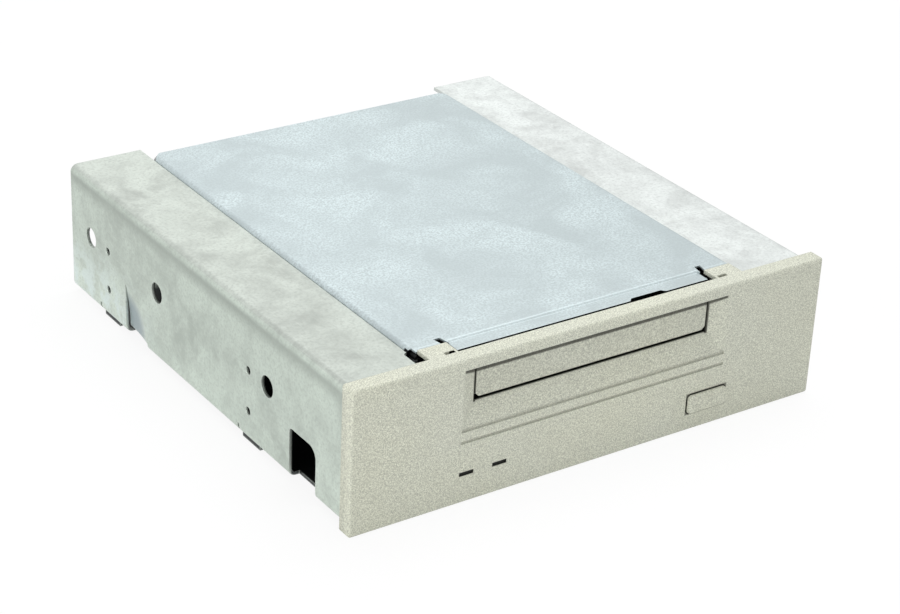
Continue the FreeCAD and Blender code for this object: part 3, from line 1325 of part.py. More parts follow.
def make_loading_post():
    """The post that the loading wheel turns on, with a fin that backs up the slider's arm."""
    post = Piece("loading_post")
    length = S.foot_length / 2
    front, rear = S.loader_y - length, S.loader_y + length
    fin_in = -SLIDER_OUT - S.gap
    fin_out = fin_in - S.plate_sheet
    post.pad("XY", DECK_TOP, DECK_TOP + S.plate_sheet,
             box(fin_out, LOADER_X + S.foot_width, front, rear))
    post.pad("XY", DECK_TOP, ARM_TOP, box(fin_out, fin_in, front, rear))
    post.chamfer("X", [(front, ARM_TOP), (rear, ARM_TOP)], S.foot_width / 2)
    post.pad("XY", DECK_TOP, RACK_ROOT - S.gap, circle(LOADER_X, S.loader_y, S.shaft_radius * 2))
    post.pad("XY", DECK_TOP, WHEEL_TOP + S.gap, circle(LOADER_X, S.loader_y, S.shaft_radius))
    return post


def make_loading_wheel():
    """A wheel driven by the motor, in one piece with the pinion that moves the slider."""
    x, y = LOADER_X, S.loader_y
    half_step = math.pi / float(S.pinion_teeth)
    wheel = gear(S.loader_teeth, MOTOR_ANGLE, vector(x, y, WHEEL_LOW), "Z",
                 WHEEL_TOP - WHEEL_LOW)
    ring = (LOADER_RADIUS + S.loader_hub) / 2
    for number in range(6):
        angle = number * math.pi / 3
        wheel = wheel.cut(rod(x + ring * math.cos(angle), y + ring * math.sin(angle),
                              WHEEL_LOW, WHEEL_TOP, S.loader_hole))
    pinion = gear(S.pinion_teeth, math.pi + half_step, vector(x, y, RACK_ROOT), "Z",
                  S.arm_height)
    hub = rod(x, y, RACK_ROOT, WHEEL_TOP, S.loader_hub)
    bore = rod(x, y, RACK_ROOT, WHEEL_TOP, S.shaft_radius + S.fit)
    group("loading_wheel", [wheel.fuse([pinion, hub]).cut(bore)])


def can_outline(growth):
    """A round can with two flat sides."""
    radius, half_flat = S.motor_radius + growth, S.motor_flat + growth
    half_width = math.sqrt(float(radius) ** 2 - float(half_flat) ** 2)
    return path((-half_width, -half_flat), (half_width, -half_flat, radius),
                (half_width, half_flat), (-half_width, half_flat, radius))


def make_loading_motor():
    """The motor in its cup on the deck, and the pinion on its shaft."""
    bracket = Piece("motor_bracket", MOTOR_X, MOTOR_Y)
    ear = S.motor_radius + S.ear_length
    bracket.pad("XY", DECK_TOP, MOTOR_LOW, box(-ear, ear, -S.ear_width / 2, S.ear_width / 2))
    bracket.pad("XY", DECK_TOP, MOTOR_LOW + S.cup_height, can_outline(S.plate_sheet))
    bracket.cut("XY", MOTOR_LOW, MOTOR_LOW + S.cup_height, can_outline(S.fit))
    motor = Piece("loading_motor", MOTOR_X, MOTOR_Y)
    boss_top = MOTOR_TOP + S.motor_boss_height
    motor.pad("XY", MOTOR_LOW, MOTOR_TOP, can_outline(0))
    motor.pad("XY", MOTOR_LOW, boss_top, circle(0, 0, S.motor_boss_radius))
    bore_low = MOTOR_TOP - S.cup_height
    motor.cut("XY", bore_low, boss_top, circle(0, 0, S.motor_shaft_radius + S.fit))
    facing = MOTOR_ANGLE + math.pi + math.pi / float(S.pinion_teeth)
    pinion = gear(S.pinion_teeth, facing, vector(MOTOR_X, MOTOR_Y, PINION_LOW), "Z",
                  WHEEL_TOP + S.gap - PINION_LOW)
    shaft = rod(MOTOR_X, MOTOR_Y, bore_low + S.gap, WHEEL_TOP + S.gap * 2,
                S.motor_shaft_radius)
    group("motor_pinion", [pinion.fuse(shaft)])


make_bezel()
make_door()
make_button()
make_front_board_parts()
make_bracket("left_bracket", -1)
make_bracket("right_bracket", 1)
make_cover()
make_chassis()
make_screws()
make_board()
make_chips()
make_rear_connectors()
make_deck()
make_tray()
make_lift_frame()
for place, side in (("left", -1), ("right", 1)):
    make_guide_plate(place + "_guide_plate", side)
    make_slider(place + "_slider", side)
make_cross_shaft()
make_drum()
make_capstan()
make_pinch_roller()
make_reels()
make_threading_guides()
make_loading_post()
make_loading_wheel()
make_loading_motor()
doc.recompute()

for thing in doc.Objects:
    if "Invalid" in thing.State or "Error" in thing.State:
        raise RuntimeError("%s did not build: %s" % (thing.Label, thing.State))
for piece in pieces:
    if piece.Shape.isNull() or not piece.Shape.isValid():
        raise RuntimeError("%s has no valid shape" % piece.Label)

os.makedirs("parts", exist_ok=True)
for piece in pieces:
    piece.Shape.exportStep("parts/%s.step" % piece.Label)
    print(piece.Label, len(piece.Shape.Solids), round(piece.Shape.Volume, 1))
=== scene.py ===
import json
import math
import random

import bmesh
import bpy
from mathutils import Matrix, Vector


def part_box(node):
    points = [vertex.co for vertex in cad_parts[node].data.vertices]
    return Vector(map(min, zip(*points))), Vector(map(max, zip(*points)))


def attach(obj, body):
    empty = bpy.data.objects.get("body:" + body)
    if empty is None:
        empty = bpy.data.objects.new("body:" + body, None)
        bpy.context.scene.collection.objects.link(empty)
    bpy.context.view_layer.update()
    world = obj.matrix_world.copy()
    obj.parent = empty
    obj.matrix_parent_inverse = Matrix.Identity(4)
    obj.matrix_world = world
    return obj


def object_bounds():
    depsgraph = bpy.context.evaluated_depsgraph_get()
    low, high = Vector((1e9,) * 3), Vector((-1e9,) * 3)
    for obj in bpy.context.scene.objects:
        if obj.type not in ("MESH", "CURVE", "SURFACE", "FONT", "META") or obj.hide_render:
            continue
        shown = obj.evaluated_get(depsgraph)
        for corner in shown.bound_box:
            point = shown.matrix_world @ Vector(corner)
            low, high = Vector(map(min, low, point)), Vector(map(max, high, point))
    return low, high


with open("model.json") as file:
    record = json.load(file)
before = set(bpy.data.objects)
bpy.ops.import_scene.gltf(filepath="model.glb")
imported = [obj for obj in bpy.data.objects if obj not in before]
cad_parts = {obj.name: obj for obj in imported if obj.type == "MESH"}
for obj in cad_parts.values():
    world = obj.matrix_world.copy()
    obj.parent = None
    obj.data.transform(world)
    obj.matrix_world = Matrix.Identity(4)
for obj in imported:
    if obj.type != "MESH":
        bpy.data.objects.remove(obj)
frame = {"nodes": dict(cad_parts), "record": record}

CAD_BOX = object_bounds()
MM = 0.001


def box_mm(node):
    """The low and high corners of a CAD piece, in millimetres."""
    return [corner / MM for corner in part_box(node)]


# edges of the CAD pieces that the finishes and the added pieces follow, in millimetres
BEZEL_LOW, BEZEL_HIGH = box_mm("bezel")
BUTTON_LOW, BUTTON_HIGH = box_mm("eject_button")
LAMPS_LOW, LAMPS_HIGH = box_mm("light_pipes")
COVER_LOW, COVER_HIGH = box_mm("top_cover")
BOARD_LOW = box_mm("circuit_board")[0]
CHASSIS_SIDE = box_mm("drive_chassis")[1].x
FRONT = BEZEL_LOW.y
WALL, BRACKET_BACK, FLANGE_TOP = box_mm("right_bracket")[1]

# details of the bezel and of the cover's front lip, in millimetres across from the middle,
# up from the base and back from the bezel's front
BEZEL_DEPTH = 4.5
TAB_INNER = 41.0
SCOOP_HALF = 42.0
SCOOP_BOTTOM = 21.0
SCOOP_DEPTH = 2.6
GROOVE_DROP = 3.3
SLOT_HALF = 37.0
SLOT_BOTTOM = 27.2
SLOT_TOP = BEZEL_HIGH.z - 3.2
WINDOW_PITCH = 10.1
LIP_STEP = 11.4
LIP_BACK = 14.0

# the dish pressed into each bracket's wall, low at the back
DISH_TOP = 16.0
DISH_FRONT = 16.0
DISH_BACK = 28.8

# the tapped holes that hold the drive in its bay: how far apart they are along it, their
# heights in the walls, and how far from its middle they are in the base
HOLE_PITCH = 79.25
SIDE_HOLE_HEIGHTS = (9.9, 21.84)
BASE_HOLE_SIDE = 69.85

# where the studio puts its lamps, in metres: place, width and height, and power
SOFTBOXES = {
    "top_light": ((0.25, 0.15, 0.9), (0.8, 0.8), 6.4),
    "front_light": ((-0.3, -1.0, 0.40), (0.8, 0.5), 2.3),
    "left_light": ((-1.0, -0.15, 0.40), (0.7, 0.5), 3.2),
}
LAMPS_AIM = Vector((0, 0, 0.02))
FILL_STRENGTH = 0.45
FLOOR_GLOW = 0.9

# where the camera stands, in metres, and how it is turned, in degrees
CAMERA_PLACE = Vector((-0.33699, -0.50243, 0.31552))
CAMERA_YAW = 35.177
CAMERA_PITCH = -27.210
CAMERA_ROLL = -2.713
CAMERA_LENS = 94.74


# ---------------------------------------------------------------- shader arithmetic

class Value:
    """A shader socket that can be added, scaled and compared like a number."""

    def __init__(self, nodes, socket):
        self.nodes = nodes
        self.socket = socket

    def __add__(self, other):
        return self.nodes.math("ADD", self, other)

    def __sub__(self, other):
        return self.nodes.math("SUBTRACT", self, other)

    def __rsub__(self, other):
        return self.nodes.math("SUBTRACT", other, self)

    def __mul__(self, other):
        return self.nodes.math("MULTIPLY", self, other)

    def __lt__(self, other):
        return self.nodes.math("LESS_THAN", self, other)

    def __or__(self, other):
        """The stronger of two masks."""
        return self.nodes.math("MAXIMUM", self, other)

    def __abs__(self):
        return self.nodes.math("ABSOLUTE", self)

    __radd__ = __add__
    __rmul__ = __mul__
    __ror__ = __or__

    def between(self, start, end):
        """Rises evenly from 0 at start to 1 at end, which may be the lower of the two."""
        return self.nodes.node("ShaderNodeMapRange", None,
                               {"Value": self, "From Min": start, "From Max": end})

    def within(self, low, high, soft=0.2):
        """1 from low to high, fading to 0 over soft beyond each end."""
        return self.between(low - soft, low) * self.between(high + soft, high)


class Nodes:
    """The node tree of a material or a world, added to by plain calls."""

    def __init__(self, owner, output):
        owner.use_nodes = True
        self.tree = owner.node_tree
        self.tree.nodes.clear()
        self.out = self.tree.nodes.new(output)

    def plug(self, socket, value):
        """Feeds a socket with a link, a colour or a plain value."""
        if isinstance(value, Value):
            self.tree.links.new(value.socket, socket)
        elif socket.type == "RGBA":
            socket.default_value = (*value, 1.0)
        else:
            socket.default_value = value

    def node(self, kind, settings=None, sockets=None, output=0):
        """Adds a node: its settings first, then its sockets by name or in order."""
        node = self.tree.nodes.new(kind)
        for name, value in (settings or {}).items():
            setattr(node, name, value)
        if isinstance(sockets, dict):
            pairs = [(node.inputs[name], value) for name, value in sockets.items()]
        else:
            pairs = zip(node.inputs, sockets or [])
        for socket, value in pairs:
            self.plug(socket, value)
        return Value(self, node.outputs[output])

    def math(self, operation, *terms):
        """Arithmetic on one or more numbers."""
        return self.node("ShaderNodeMath", {"operation": operation}, terms)

    def vectors(self, operation, sockets, output=0):
        """Arithmetic on places, directions or colours."""
        return self.node("ShaderNodeVectorMath", {"operation": operation}, sockets, output)

    def white_rays(self):
        """1 for the eye's rays and for what metal and glass show, 0 for light on the drive."""
        rays = self.node("ShaderNodeLightPath").socket.node.outputs
        seen, glossy, through = [Value(self, rays[name]) for name in (
            "Is Camera Ray", "Is Glossy Ray", "Is Transmission Ray")]
        return seen | glossy | through

    def blend_surface(self, share, first, second):
        """Shows one shader over another."""
        blend = self.node("ShaderNodeMixShader", None, [share, first, second])
        self.plug(self.out.inputs["Surface"], blend)


class Finish(Nodes):
    """A procedural finish: a Principled shader and the nodes that feed it. All its sizes
    and places are in millimetres."""

    def __init__(self, name):
        self.material = bpy.data.materials.new(name)
        super().__init__(self.material, "ShaderNodeOutputMaterial")
        self.surface = self.node("ShaderNodeBsdfPrincipled")
        self.plug(self.out.inputs["Surface"], self.surface)
        self.place = self.node("ShaderNodeTexCoord", output="Object")

    def axes(self):
        """The place on the piece as X, Y and Z."""
        place = self.scaled(self.place, 1 / MM)
        split = self.node("ShaderNodeSeparateXYZ", None, [place]).socket.node
        return [Value(self, output) for output in split.outputs]

    def noise(self, size, detail=2.0, rough=0.5, distortion=0.0, stretch=None, output="Fac"):
        """Soft noise whose blotches are about size across."""
        place = self.place
        if stretch:
            place = self.node("ShaderNodeMapping", None, {"Vector": place, "Scale": stretch})
        return self.node("ShaderNodeTexNoise", None,
                         {"Vector": place, "Scale": 1 / (size * MM), "Detail": detail,
                          "Roughness": rough, "Distortion": distortion}, output)

    def cells(self, size, output="Distance", wobble=0.0):
        """Crystal-like cells about size across, their walls bent by up to wobble."""
        place = self.place
        if wobble:
            shift = self.noise(size * 1.5, 1.0, output="Color")
            place = self.vectors("MULTIPLY_ADD", [shift, (wobble * MM,) * 3, self.place])
        return self.node("ShaderNodeTexVoronoi", None,
                         {"Vector": place, "Scale": 1 / (size * MM)}, output)

    def grey(self, colour):
        """How light a colour is."""
        return self.node("ShaderNodeRGBToBW", None, [colour])

    def mix(self, share, first, second):
        """One colour over another."""
        mixer = self.node("ShaderNodeMix", {"data_type": "RGBA"}, {"Factor": share})
        colours = [socket for socket in mixer.socket.node.inputs if socket.type == "RGBA"]
        for socket, colour in zip(colours, (first, second)):
            self.plug(socket, colour)
        return Value(self, [socket for socket in mixer.socket.node.outputs
                            if socket.type == "RGBA"][0])

    def scaled(self, vector, factor):
        """A colour made lighter or darker, or a place in another unit."""
        return self.vectors("SCALE", {"Vector": vector, "Scale": factor})

    def tinted(self, colour, tint):
        """A colour multiplied by another."""
        return self.vectors("MULTIPLY", [colour, tint])

    def soft_normal(self, radius):
        """The surface's normal with its sharp edges eased to a small radius."""
        return self.node("ShaderNodeBevel", {"samples": 6}, {"Radius": radius * MM})

    def edges(self, radius):
        """Near 1 along sharp edges and 0 on flats."""
        true_normal = self.node("ShaderNodeNewGeometry", output="Normal")
        along = self.vectors("DOT_PRODUCT", [self.soft_normal(radius), true_normal], "Value")
        return (1 - along).between(0.0, 0.12)

    def finish(self, colour, rough, metal=0.0, bump=None, depth=0.0, radius=0.0, shine=0.5):
        """Feeds the shader and gives the material. bump is a height from 0 to 1, and depth
        is its size."""
        feeds = {"Base Color": colour, "Roughness": rough, "Metallic": metal,
                 "Specular IOR Level": shine}
        if bump is not None:
            feeds["Normal"] = self.node("ShaderNodeBump", None, {
                "Height": bump, "Distance": depth * MM, "Strength": 1.0,
                "Normal": self.soft_normal(radius)})
        for name, value in feeds.items():
            self.plug(self.surface.socket.node.inputs[name], value)
        return self.material


def shade(colour, factor):
    """A colour made lighter or darker, no lighter than white."""
    return tuple(min(1.0, channel * factor) for channel in colour)


def tint(colour, factors):
    """A colour whose red, green and blue are each made lighter or darker."""
    return tuple(channel * factor for channel, factor in zip(colour, factors))


# ---------------------------------------------------------------- finishes

def painted_bezel_shade(x, y, z):
    """Where painted shade darkens the bezel, its door and its button."""
    depth = y - FRONT
    off_middle = abs(x)
    under_top = z.between(SLOT_TOP + 0.3, SLOT_TOP + 0.15)
    in_slot = (off_middle.between(SLOT_HALF + 2.5, SLOT_HALF + 1.5)
               * depth.between(SCOOP_DEPTH, SCOOP_DEPTH + 0.6)
               * z.between(SLOT_BOTTOM - 2.2, SLOT_BOTTOM - 1.2)
               * z.between(BEZEL_HIGH.z - 0.3, BEZEL_HIGH.z - 0.6))
    # the shade of the lip above the scoop falls lower on what lies deeper
    fall = 0.77
    under_lip = (off_middle.between(SCOOP_HALF + 0.2, SCOOP_HALF) * depth.between(0.1, 0.3)
                 * (z + depth * fall).between(SLOT_TOP - 0.9, SLOT_TOP - 0.5) * under_top)
    beside_door = (off_middle.within(SLOT_HALF - 0.3, SLOT_HALF + 0.3)
                   * depth.between(SCOOP_DEPTH - 0.5, SCOOP_DEPTH - 0.1)
                   * z.between(SLOT_BOTTOM - 0.4, SLOT_BOTTOM - 0.2) * under_top)
    in_grooves = (off_middle.between(SCOOP_HALF + 0.1, SCOOP_HALF)
                  * z.within(SCOOP_BOTTOM - GROOVE_DROP - 0.8, SCOOP_BOTTOM + 0.5, 0.1)
                  * depth.between(0.05, 0.25))
    windows_middle = (LAMPS_LOW.x + LAMPS_HIGH.x) / 2
    off_window = abs(abs(x - windows_middle) - WINDOW_PITCH / 2)
    in_windows = (off_window.between(2.5, 2.4)
                  * z.within(LAMPS_LOW.z - 0.25, LAMPS_HIGH.z + 0.25, 0.1)
                  * depth.between(0.15, 0.3))
    round_button = (x.within(BUTTON_LOW.x + 0.4, BUTTON_HIGH.x - 0.4, 0.1)
                    * z.within(BUTTON_LOW.z - 0.5, BUTTON_HIGH.z + 0.5, 0.1)
                    * depth.between(-0.25, 0.15))
    # painted shade in the inner end of the left tab's latch window
    in_latch_window = (x.within(-TAB_INNER - 1.9, -TAB_INNER - 0.2)
                       * depth.within(BEZEL_DEPTH + 0.1, BEZEL_DEPTH + 1.25)
                       * z.between(BEZEL_HIGH.z - 0.05, BEZEL_HIGH.z - 0.15))
    return (in_slot | under_lip * 0.8 | beside_door * 0.85 | in_grooves * 0.25 | in_windows
            | round_button | in_latch_window)


def moulded_plastic(name, colour):
    """Moulded, spark-textured plastic, a little yellowed, with painted highlights along its
    edges.
    """
    f = Finish(name)
    x, y, z = f.axes()
    speck = f.noise(0.34, 2.0, 0.8)
    cloud = f.noise(30, 2.0)
    yellowed = tint(colour, (1.01, 1.0, 0.955))
    tone = f.mix(cloud.between(0.35, 0.7), shade(colour, 0.98), yellowed)
    tone = f.mix(speck.between(0.5, 0.36), tone, shade(colour, 0.66))
    tone = f.mix(speck.between(0.5, 0.66), tone, shade(colour, 1.36))
    # painted highlight along the sharp edges
    tone = f.mix(f.edges(0.5) * 0.3, tone, shade(colour, 1.12))
    # painted light on top and on the left end, painted shade to the right and on the door
    on_top = z.between(BEZEL_HIGH.z - 1.2, BEZEL_HIGH.z)
    left_end = x.between(BEZEL_LOW.x + 0.5, BEZEL_LOW.x + 0.1)
    on_door = ((y - FRONT).between(SCOOP_DEPTH - 0.3, SCOOP_DEPTH - 0.1)
               * z.between(BEZEL_HIGH.z - 1.7, BEZEL_HIGH.z - 2.7))
    tone = f.scaled(tone, 1 + on_top * 0.09 + left_end * 0.08 - x.between(20, 70) * 0.06
                    - on_door * 0.09)
    shaded = painted_bezel_shade(x, y, z)
    # painted shade: near black and without shine where the shade mask falls
    tone = f.mix(shaded, tone, (0.010, 0.010, 0.008))
    rough = 0.50 + f.noise(12, 3.0).between(0.3, 0.7) * 0.14
    return f.finish(tone, rough, shaded, bump=speck, depth=0.04, radius=0.35)


def zinc_tone(f, colour, level, cloud, blot, fine):
    """The colour of a hot-dip zinc coat, from its crystals, patches, blots and grain."""
    scratch = f.noise(3.5, 2.0, 0.7, stretch=(9.0, 0.35, 9.0))
    tone = f.mix(cloud.between(0.36, 0.62), shade(colour, 0.78), shade(colour, 1.11))
    tone = f.mix(blot.between(0.42, 0.70) * 0.7, tone, shade(colour, 1.22))
    tone = f.mix(level * 0.25, tone, shade(colour, 1.12))
    tone = f.mix(fine.between(0.46, 0.68) * 0.6, tone, shade(colour, 0.76))
    return f.mix(scratch.between(0.60, 0.74) * 0.4, tone, shade(colour, 1.22))


def channel_masks(x, y, z):
    """The pressed dish of a bracket, and the inside of its channel that lies in shade."""
    dish = z.between(DISH_TOP + 0.5, DISH_TOP) * y.within(DISH_FRONT, DISH_BACK, 0.5)
    dish_back = dish * abs(x).between(WALL - 2.5, WALL - 2.3)
    inside = (abs(x).between(WALL - 0.55, WALL - 0.95)
              * z.between(FLANGE_TOP - 0.55, FLANGE_TOP - 0.95)
              * y.between(BRACKET_BACK - 11, BRACKET_BACK - 15))
    return dish, inside * (1 - dish_back)


def galvanised_steel(name, colour):
    """Hot-dip galvanised sheet: faint crystals, cloudy patches and fine scratches, with
    painted light, shade and edge highlights.
    """
    f = Finish(name)
    x, y, z = f.axes()
    level = f.grey(f.cells(3.2, output="Color", wobble=2.0))
    cloud = f.noise(17, 5.0, 0.66, 0.6)
    blot = f.noise(5.5, 5.0, 0.68, 0.4)
    fine = f.noise(0.9, 3.0, 0.7)
    dish, shaded_inside = channel_masks(x, y, z)
    tone = zinc_tone(f, colour, level, cloud, blot, fine)
    # the outer wall goes darker in a band under its bend, and painted light from the left
    # tints it greener
    wall = abs(x).between(WALL - 0.9, WALL - 0.2)
    band = (z.between(FLANGE_TOP - 6.5, FLANGE_TOP - 3.2)
            * z.between(FLANGE_TOP - 1.4, FLANGE_TOP - 2.6))
    tone = f.mix(wall * band * (0.25 + cloud * 0.8), tone, shade(colour, 0.62))
    tone = f.mix(wall * 0.5, tone, f.tinted(tone, (0.955, 1.03, 0.975)))
    # low at the back the wall is bluer and paler in blots
    low = z.between(21, 6)
    low_back = low * y.between(10, 30)
    tone = f.mix(wall * low_back * blot.between(0.46, 0.56) * 0.6, tone,
                 tint(colour, (1.14, 1.20, 1.30)))
    # painted shade darkens the left flange towards the bezel, and painted light lightens the
    # walls there and low down
    flange = z.between(FLANGE_TOP - 0.8, FLANGE_TOP - 0.2)
    flange_shade = flange * y.between(30, -80) * x.between(0, -60) * 0.18
    wall_light = wall * (y.between(-50, -80) * 0.09 + low_back * 0.1 + low * 0.09)
    tone = f.scaled(tone, 0.965 + wall_light - flange_shade)
    # painted shade: the pressed dish is painted bluer and duller than the wall around it
    sunk = dish * abs(x).between(WALL - 0.2, WALL - 0.8)
    tone = f.mix(sunk * 0.75, tone, tint(colour, (0.60, 0.68, 0.80)))
    # painted shade: the inside of the channel is dark and without shine, except near its open
    # back
    tone = f.mix(shaded_inside * 0.94, tone, (0.022, 0.024, 0.028))
    # painted light: the right bracket is lighter and bluer than the left, most of all at its
    # back
    painted_right_light = x.between(-30, 60) * (1 - shaded_inside)
    tone = f.mix(painted_right_light, tone, f.tinted(tone, (1.11, 1.08, 1.15)))
    tone = f.scaled(tone, 1 + painted_right_light * y.between(-10, 50) * 0.12)
    # painted highlight along the sharp edges
    tone = f.mix(f.edges(0.7) * 0.45, tone, shade(colour, 1.25))
    rough = 0.34 + cloud * 0.18 + level * 0.06
    height = fine * 0.25 + level * 0.15 + f.noise(12, 3.0) * 0.6
    return f.finish(tone, rough, 0.6 + shaded_inside * 0.4, bump=height, depth=0.1, radius=0.4)


def plated_cover(name, colour):
    """Zinc-plated cover sheet, cool and cloudy, with a very fine grain."""
    f = Finish(name)
    x, y, z = f.axes()
    cloud = f.noise(24, 5.0, 0.55, 0.7)
    patch = f.noise(7, 3.0, 0.6)
    grain = f.noise(0.6, 2.0, 0.7)
    tone = f.mix(cloud.between(0.38, 0.60), shade(colour, 0.87), shade(colour, 1.10))
    tone = f.mix(patch.between(0.5, 0.75) * 0.5, tone, shade(colour, 0.90))
    tone = f.mix(grain.between(0.58, 0.40), tone, shade(colour, 0.80))
    # painted highlight along the sharp edges
    tone = f.mix(f.edges(0.5) * 0.6, tone, shade(colour, 1.3))
    # painted shade darkens the front lip's cut edges, and a painted highlight lies along its
    # step up to the cover
    depth = y - FRONT
    lip_top = COVER_HIGH.z - 0.5
    lip_end = (y - COVER_LOW.y).between(1.20, 1.13)
    lip_back = (depth.between(LIP_BACK + 0.2, LIP_BACK)
                * z.between(lip_top - 0.01, lip_top - 0.08))
    cut_edge_shade = lip_end | lip_back
    tone = f.mix(cut_edge_shade, tone, (0.010, 0.011, 0.012))
    tone = f.mix(depth.within(LIP_STEP, LIP_STEP + 0.3) * 0.3, tone, shade(colour, 1.4))
    # painted light: lighter towards the back and towards the left
    tone = f.scaled(tone, 1 + y.between(-75, 20) * 0.11 + x.between(40, -30) * 0.06)
    rough = 0.40 + cloud * 0.14
    height = grain * 0.2 + f.noise(30, 2.0) * 0.8
    return f.finish(tone, rough, 0.5 + cut_edge_shade * 0.5, bump=height, depth=0.06,
                    radius=0.35)


def machined_metal(name, colour, rough=0.3, metal=0.9, stretch=(1.0, 1.0, 12.0)):
    """Turned, ground or drawn metal with fine tool marks."""
    f = Finish(name)
    marks = f.noise(0.8, 3.0, 0.6, stretch=stretch)
    cloud = f.noise(6, 3.0)
    tone = f.mix(cloud.between(0.3, 0.7), shade(colour, 0.88), colour)
    tone = f.mix(marks.between(0.4, 0.75) * 0.4, tone, shade(colour, 1.12))
    roughness = rough - 0.06 + marks * 0.12 + cloud * 0.06
    return f.finish(tone, roughness, metal, bump=marks, depth=0.01, radius=0.2)


def cast_metal(name, colour):
    """As-cast aluminium, softly pebbled."""
    f = Finish(name)
    x, y, z = f.axes()
    pebble = f.noise(0.9, 4.0, 0.6)
    cloud = f.noise(12, 3.0)
    tone = f.mix(cloud.between(0.3, 0.7), shade(colour, 0.85), colour)
    tone = f.mix(pebble.between(0.4, 0.8) * 0.5, tone, shade(colour, 1.12))
    # shade gathers on the sides, behind the brackets, and under the cover's front corners
    side = (abs(x).between(CHASSIS_SIDE - 0.6, CHASSIS_SIDE - 0.3)
            * y.between(BRACKET_BACK - 12, BRACKET_BACK - 17))
    corner = ((y - FRONT).between(LIP_BACK, LIP_BACK - 0.4)
              * z.between(COVER_HIGH.z - 2.7, COVER_HIGH.z - 2.2))
    tone = f.mix(side * 0.8 | corner, tone, (0.014, 0.016, 0.015))
    return f.finish(tone, 0.45 + pebble * 0.2, 0.7, bump=pebble, depth=0.08, radius=0.4)


def board_mask(name, colour):
    """Solder mask over copper traces: raised lines and plated pads show through paler."""
    f = Finish(name)
    x, y, _ = f.axes()
    step = f.noise(18, 0.0) * 20
    lines = f.math("PINGPONG", x + step, 0.9) < 0.32
    crossing = f.math("PINGPONG", y + step, 1.1) < 0.35
    region = f.grey(f.cells(16, output="Color")).between(0.49, 0.5)
    level = f.grey(f.mix(region, lines, crossing))
    pads = f.cells(3.5) < 0.16
    tone = f.mix(level * 0.75, colour, tint(colour, (1.8, 1.45, 1.3)))
    tone = f.mix(pads * 0.9, tone, (0.62, 0.62, 0.58))
    rough = 0.30 + f.noise(4, 2.0) * 0.1
    return f.finish(tone, rough, bump=level, depth=0.04, radius=0.2)


def smooth_plastic(name, colour, rough=0.4, shine=0.5):
    """Plain moulded plastic or rubber with faint flow marks."""
    f = Finish(name)
    flow = f.noise(6, 3.0, 0.5, 0.8)
    fine = f.noise(0.4, 2.0)
    tone = f.mix(flow.between(0.3, 0.7), shade(colour, 0.85), shade(colour, 1.15))
    # painted highlight along the sharp edges
    edge_highlight = tuple(min(1.0, channel * 1.2 + 0.02) for channel in colour)
    tone = f.mix(f.edges(0.3) * 0.3, tone, edge_highlight)
    return f.finish(tone, rough - 0.05 + flow * 0.12, bump=fine, depth=0.01, radius=0.2,
                    shine=shine)


# each material slot of the CAD pieces: how it is made, its colour and what follows it
SLOT_FINISHES = {
    "bezel_plastic": (moulded_plastic, (0.560, 0.570, 0.480)),
    "smoked_plastic": (smooth_plastic, (0.006, 0.0065, 0.005), 0.3, 0.2),
    "lamp_plastic": (smooth_plastic, (0.10, 0.28, 0.06), 0.2),
    "black_plastic": (smooth_plastic, (0.018, 0.018, 0.020), 0.45),
    "galvanised_steel": (galvanised_steel, (0.52, 0.560, 0.515)),
    "zinc_plated_cover": (plated_cover, (0.46, 0.525, 0.535)),
    "cast_aluminium": (cast_metal, (0.42, 0.43, 0.43)),
    "zinc_screws": (machined_metal, (0.62, 0.61, 0.55), 0.3),
    "board_laminate": (board_mask, (0.020, 0.115, 0.045)),
    "chip_epoxy": (smooth_plastic, (0.025, 0.025, 0.027), 0.5),
    "gold_pins": (machined_metal, (0.80, 0.58, 0.25), 0.22),
    "tinned_pins": (machined_metal, (0.72, 0.72, 0.70), 0.25),
    "white_nylon": (smooth_plastic, (0.62, 0.60, 0.53), 0.5),
    "white_acetal": (smooth_plastic, (0.55, 0.55, 0.52), 0.38),
    "black_acetal": (smooth_plastic, (0.025, 0.025, 0.027), 0.35),
    "deck_steel": (machined_metal, (0.36, 0.37, 0.37), 0.38, 0.8, (1, 14, 1)),
    "polished_steel": (machined_metal, (0.68, 0.69, 0.70), 0.15, 1.0),
    "machined_aluminium": (machined_metal, (0.52, 0.53, 0.54), 0.26),
    "brass": (machined_metal, (0.70, 0.52, 0.24), 0.28),
    "roller_rubber": (smooth_plastic, (0.02, 0.02, 0.02), 0.75),
    "motor_can": (machined_metal, (0.46, 0.47, 0.48), 0.34, 0.9, (12, 1, 1)),
}
FINISHES = {slot: make(slot, *values) for slot, (make, *values) in SLOT_FINISHES.items()}


def dress_cad_nodes():
    """Gives every CAD piece the finish of its material slot."""
    slots = {entry["node"]: entry["material_slot"] for entry in frame["record"]["subparts"]}
    for name, piece in frame["nodes"].items():
        piece.data.materials.clear()
        piece.data.materials.append(FINISHES[slots[name]])


# ---------------------------------------------------------------- small added pieces

def move(x, y, z):
    """A shift in millimetres."""
    return Matrix.Translation(Vector((x, y, z)) * MM)


def lathe(profile, count):
    """A profile of (radius, height), in millimetres, turned about Z in count steps."""
    turns = [2 * math.pi * n / count for n in range(count)]
    points = [Vector((radius * math.cos(turn), radius * math.sin(turn), height)) * MM
              for radius, height in profile for turn in turns]
    faces = [(row * count + n, row * count + (n + 1) % count,
              (row + 1) * count + (n + 1) % count, (row + 1) * count + n)
             for row in range(len(profile) - 1) for n in range(count)]
    return points, faces


def block(length, width, height, bevel):
    """A box in millimetres, standing on Z = 0, with bevelled edges."""
    shape = bmesh.new()
    bmesh.ops.create_cube(shape, size=1.0)
    for vertex in shape.verts:
        vertex.co = Vector((vertex.co.x * length, vertex.co.y * width,
                            (vertex.co.z + 0.5) * height)) * MM
    bmesh.ops.bevel(shape, geom=shape.edges[:], offset=bevel * MM, segments=2,
                    affect="EDGES", profile=0.6)
    shape.verts.ensure_lookup_table()
    points = [vertex.co.copy() for vertex in shape.verts]
    faces = [tuple(vertex.index for vertex in face.verts) for face in shape.faces]
    shape.free()
    return points, faces


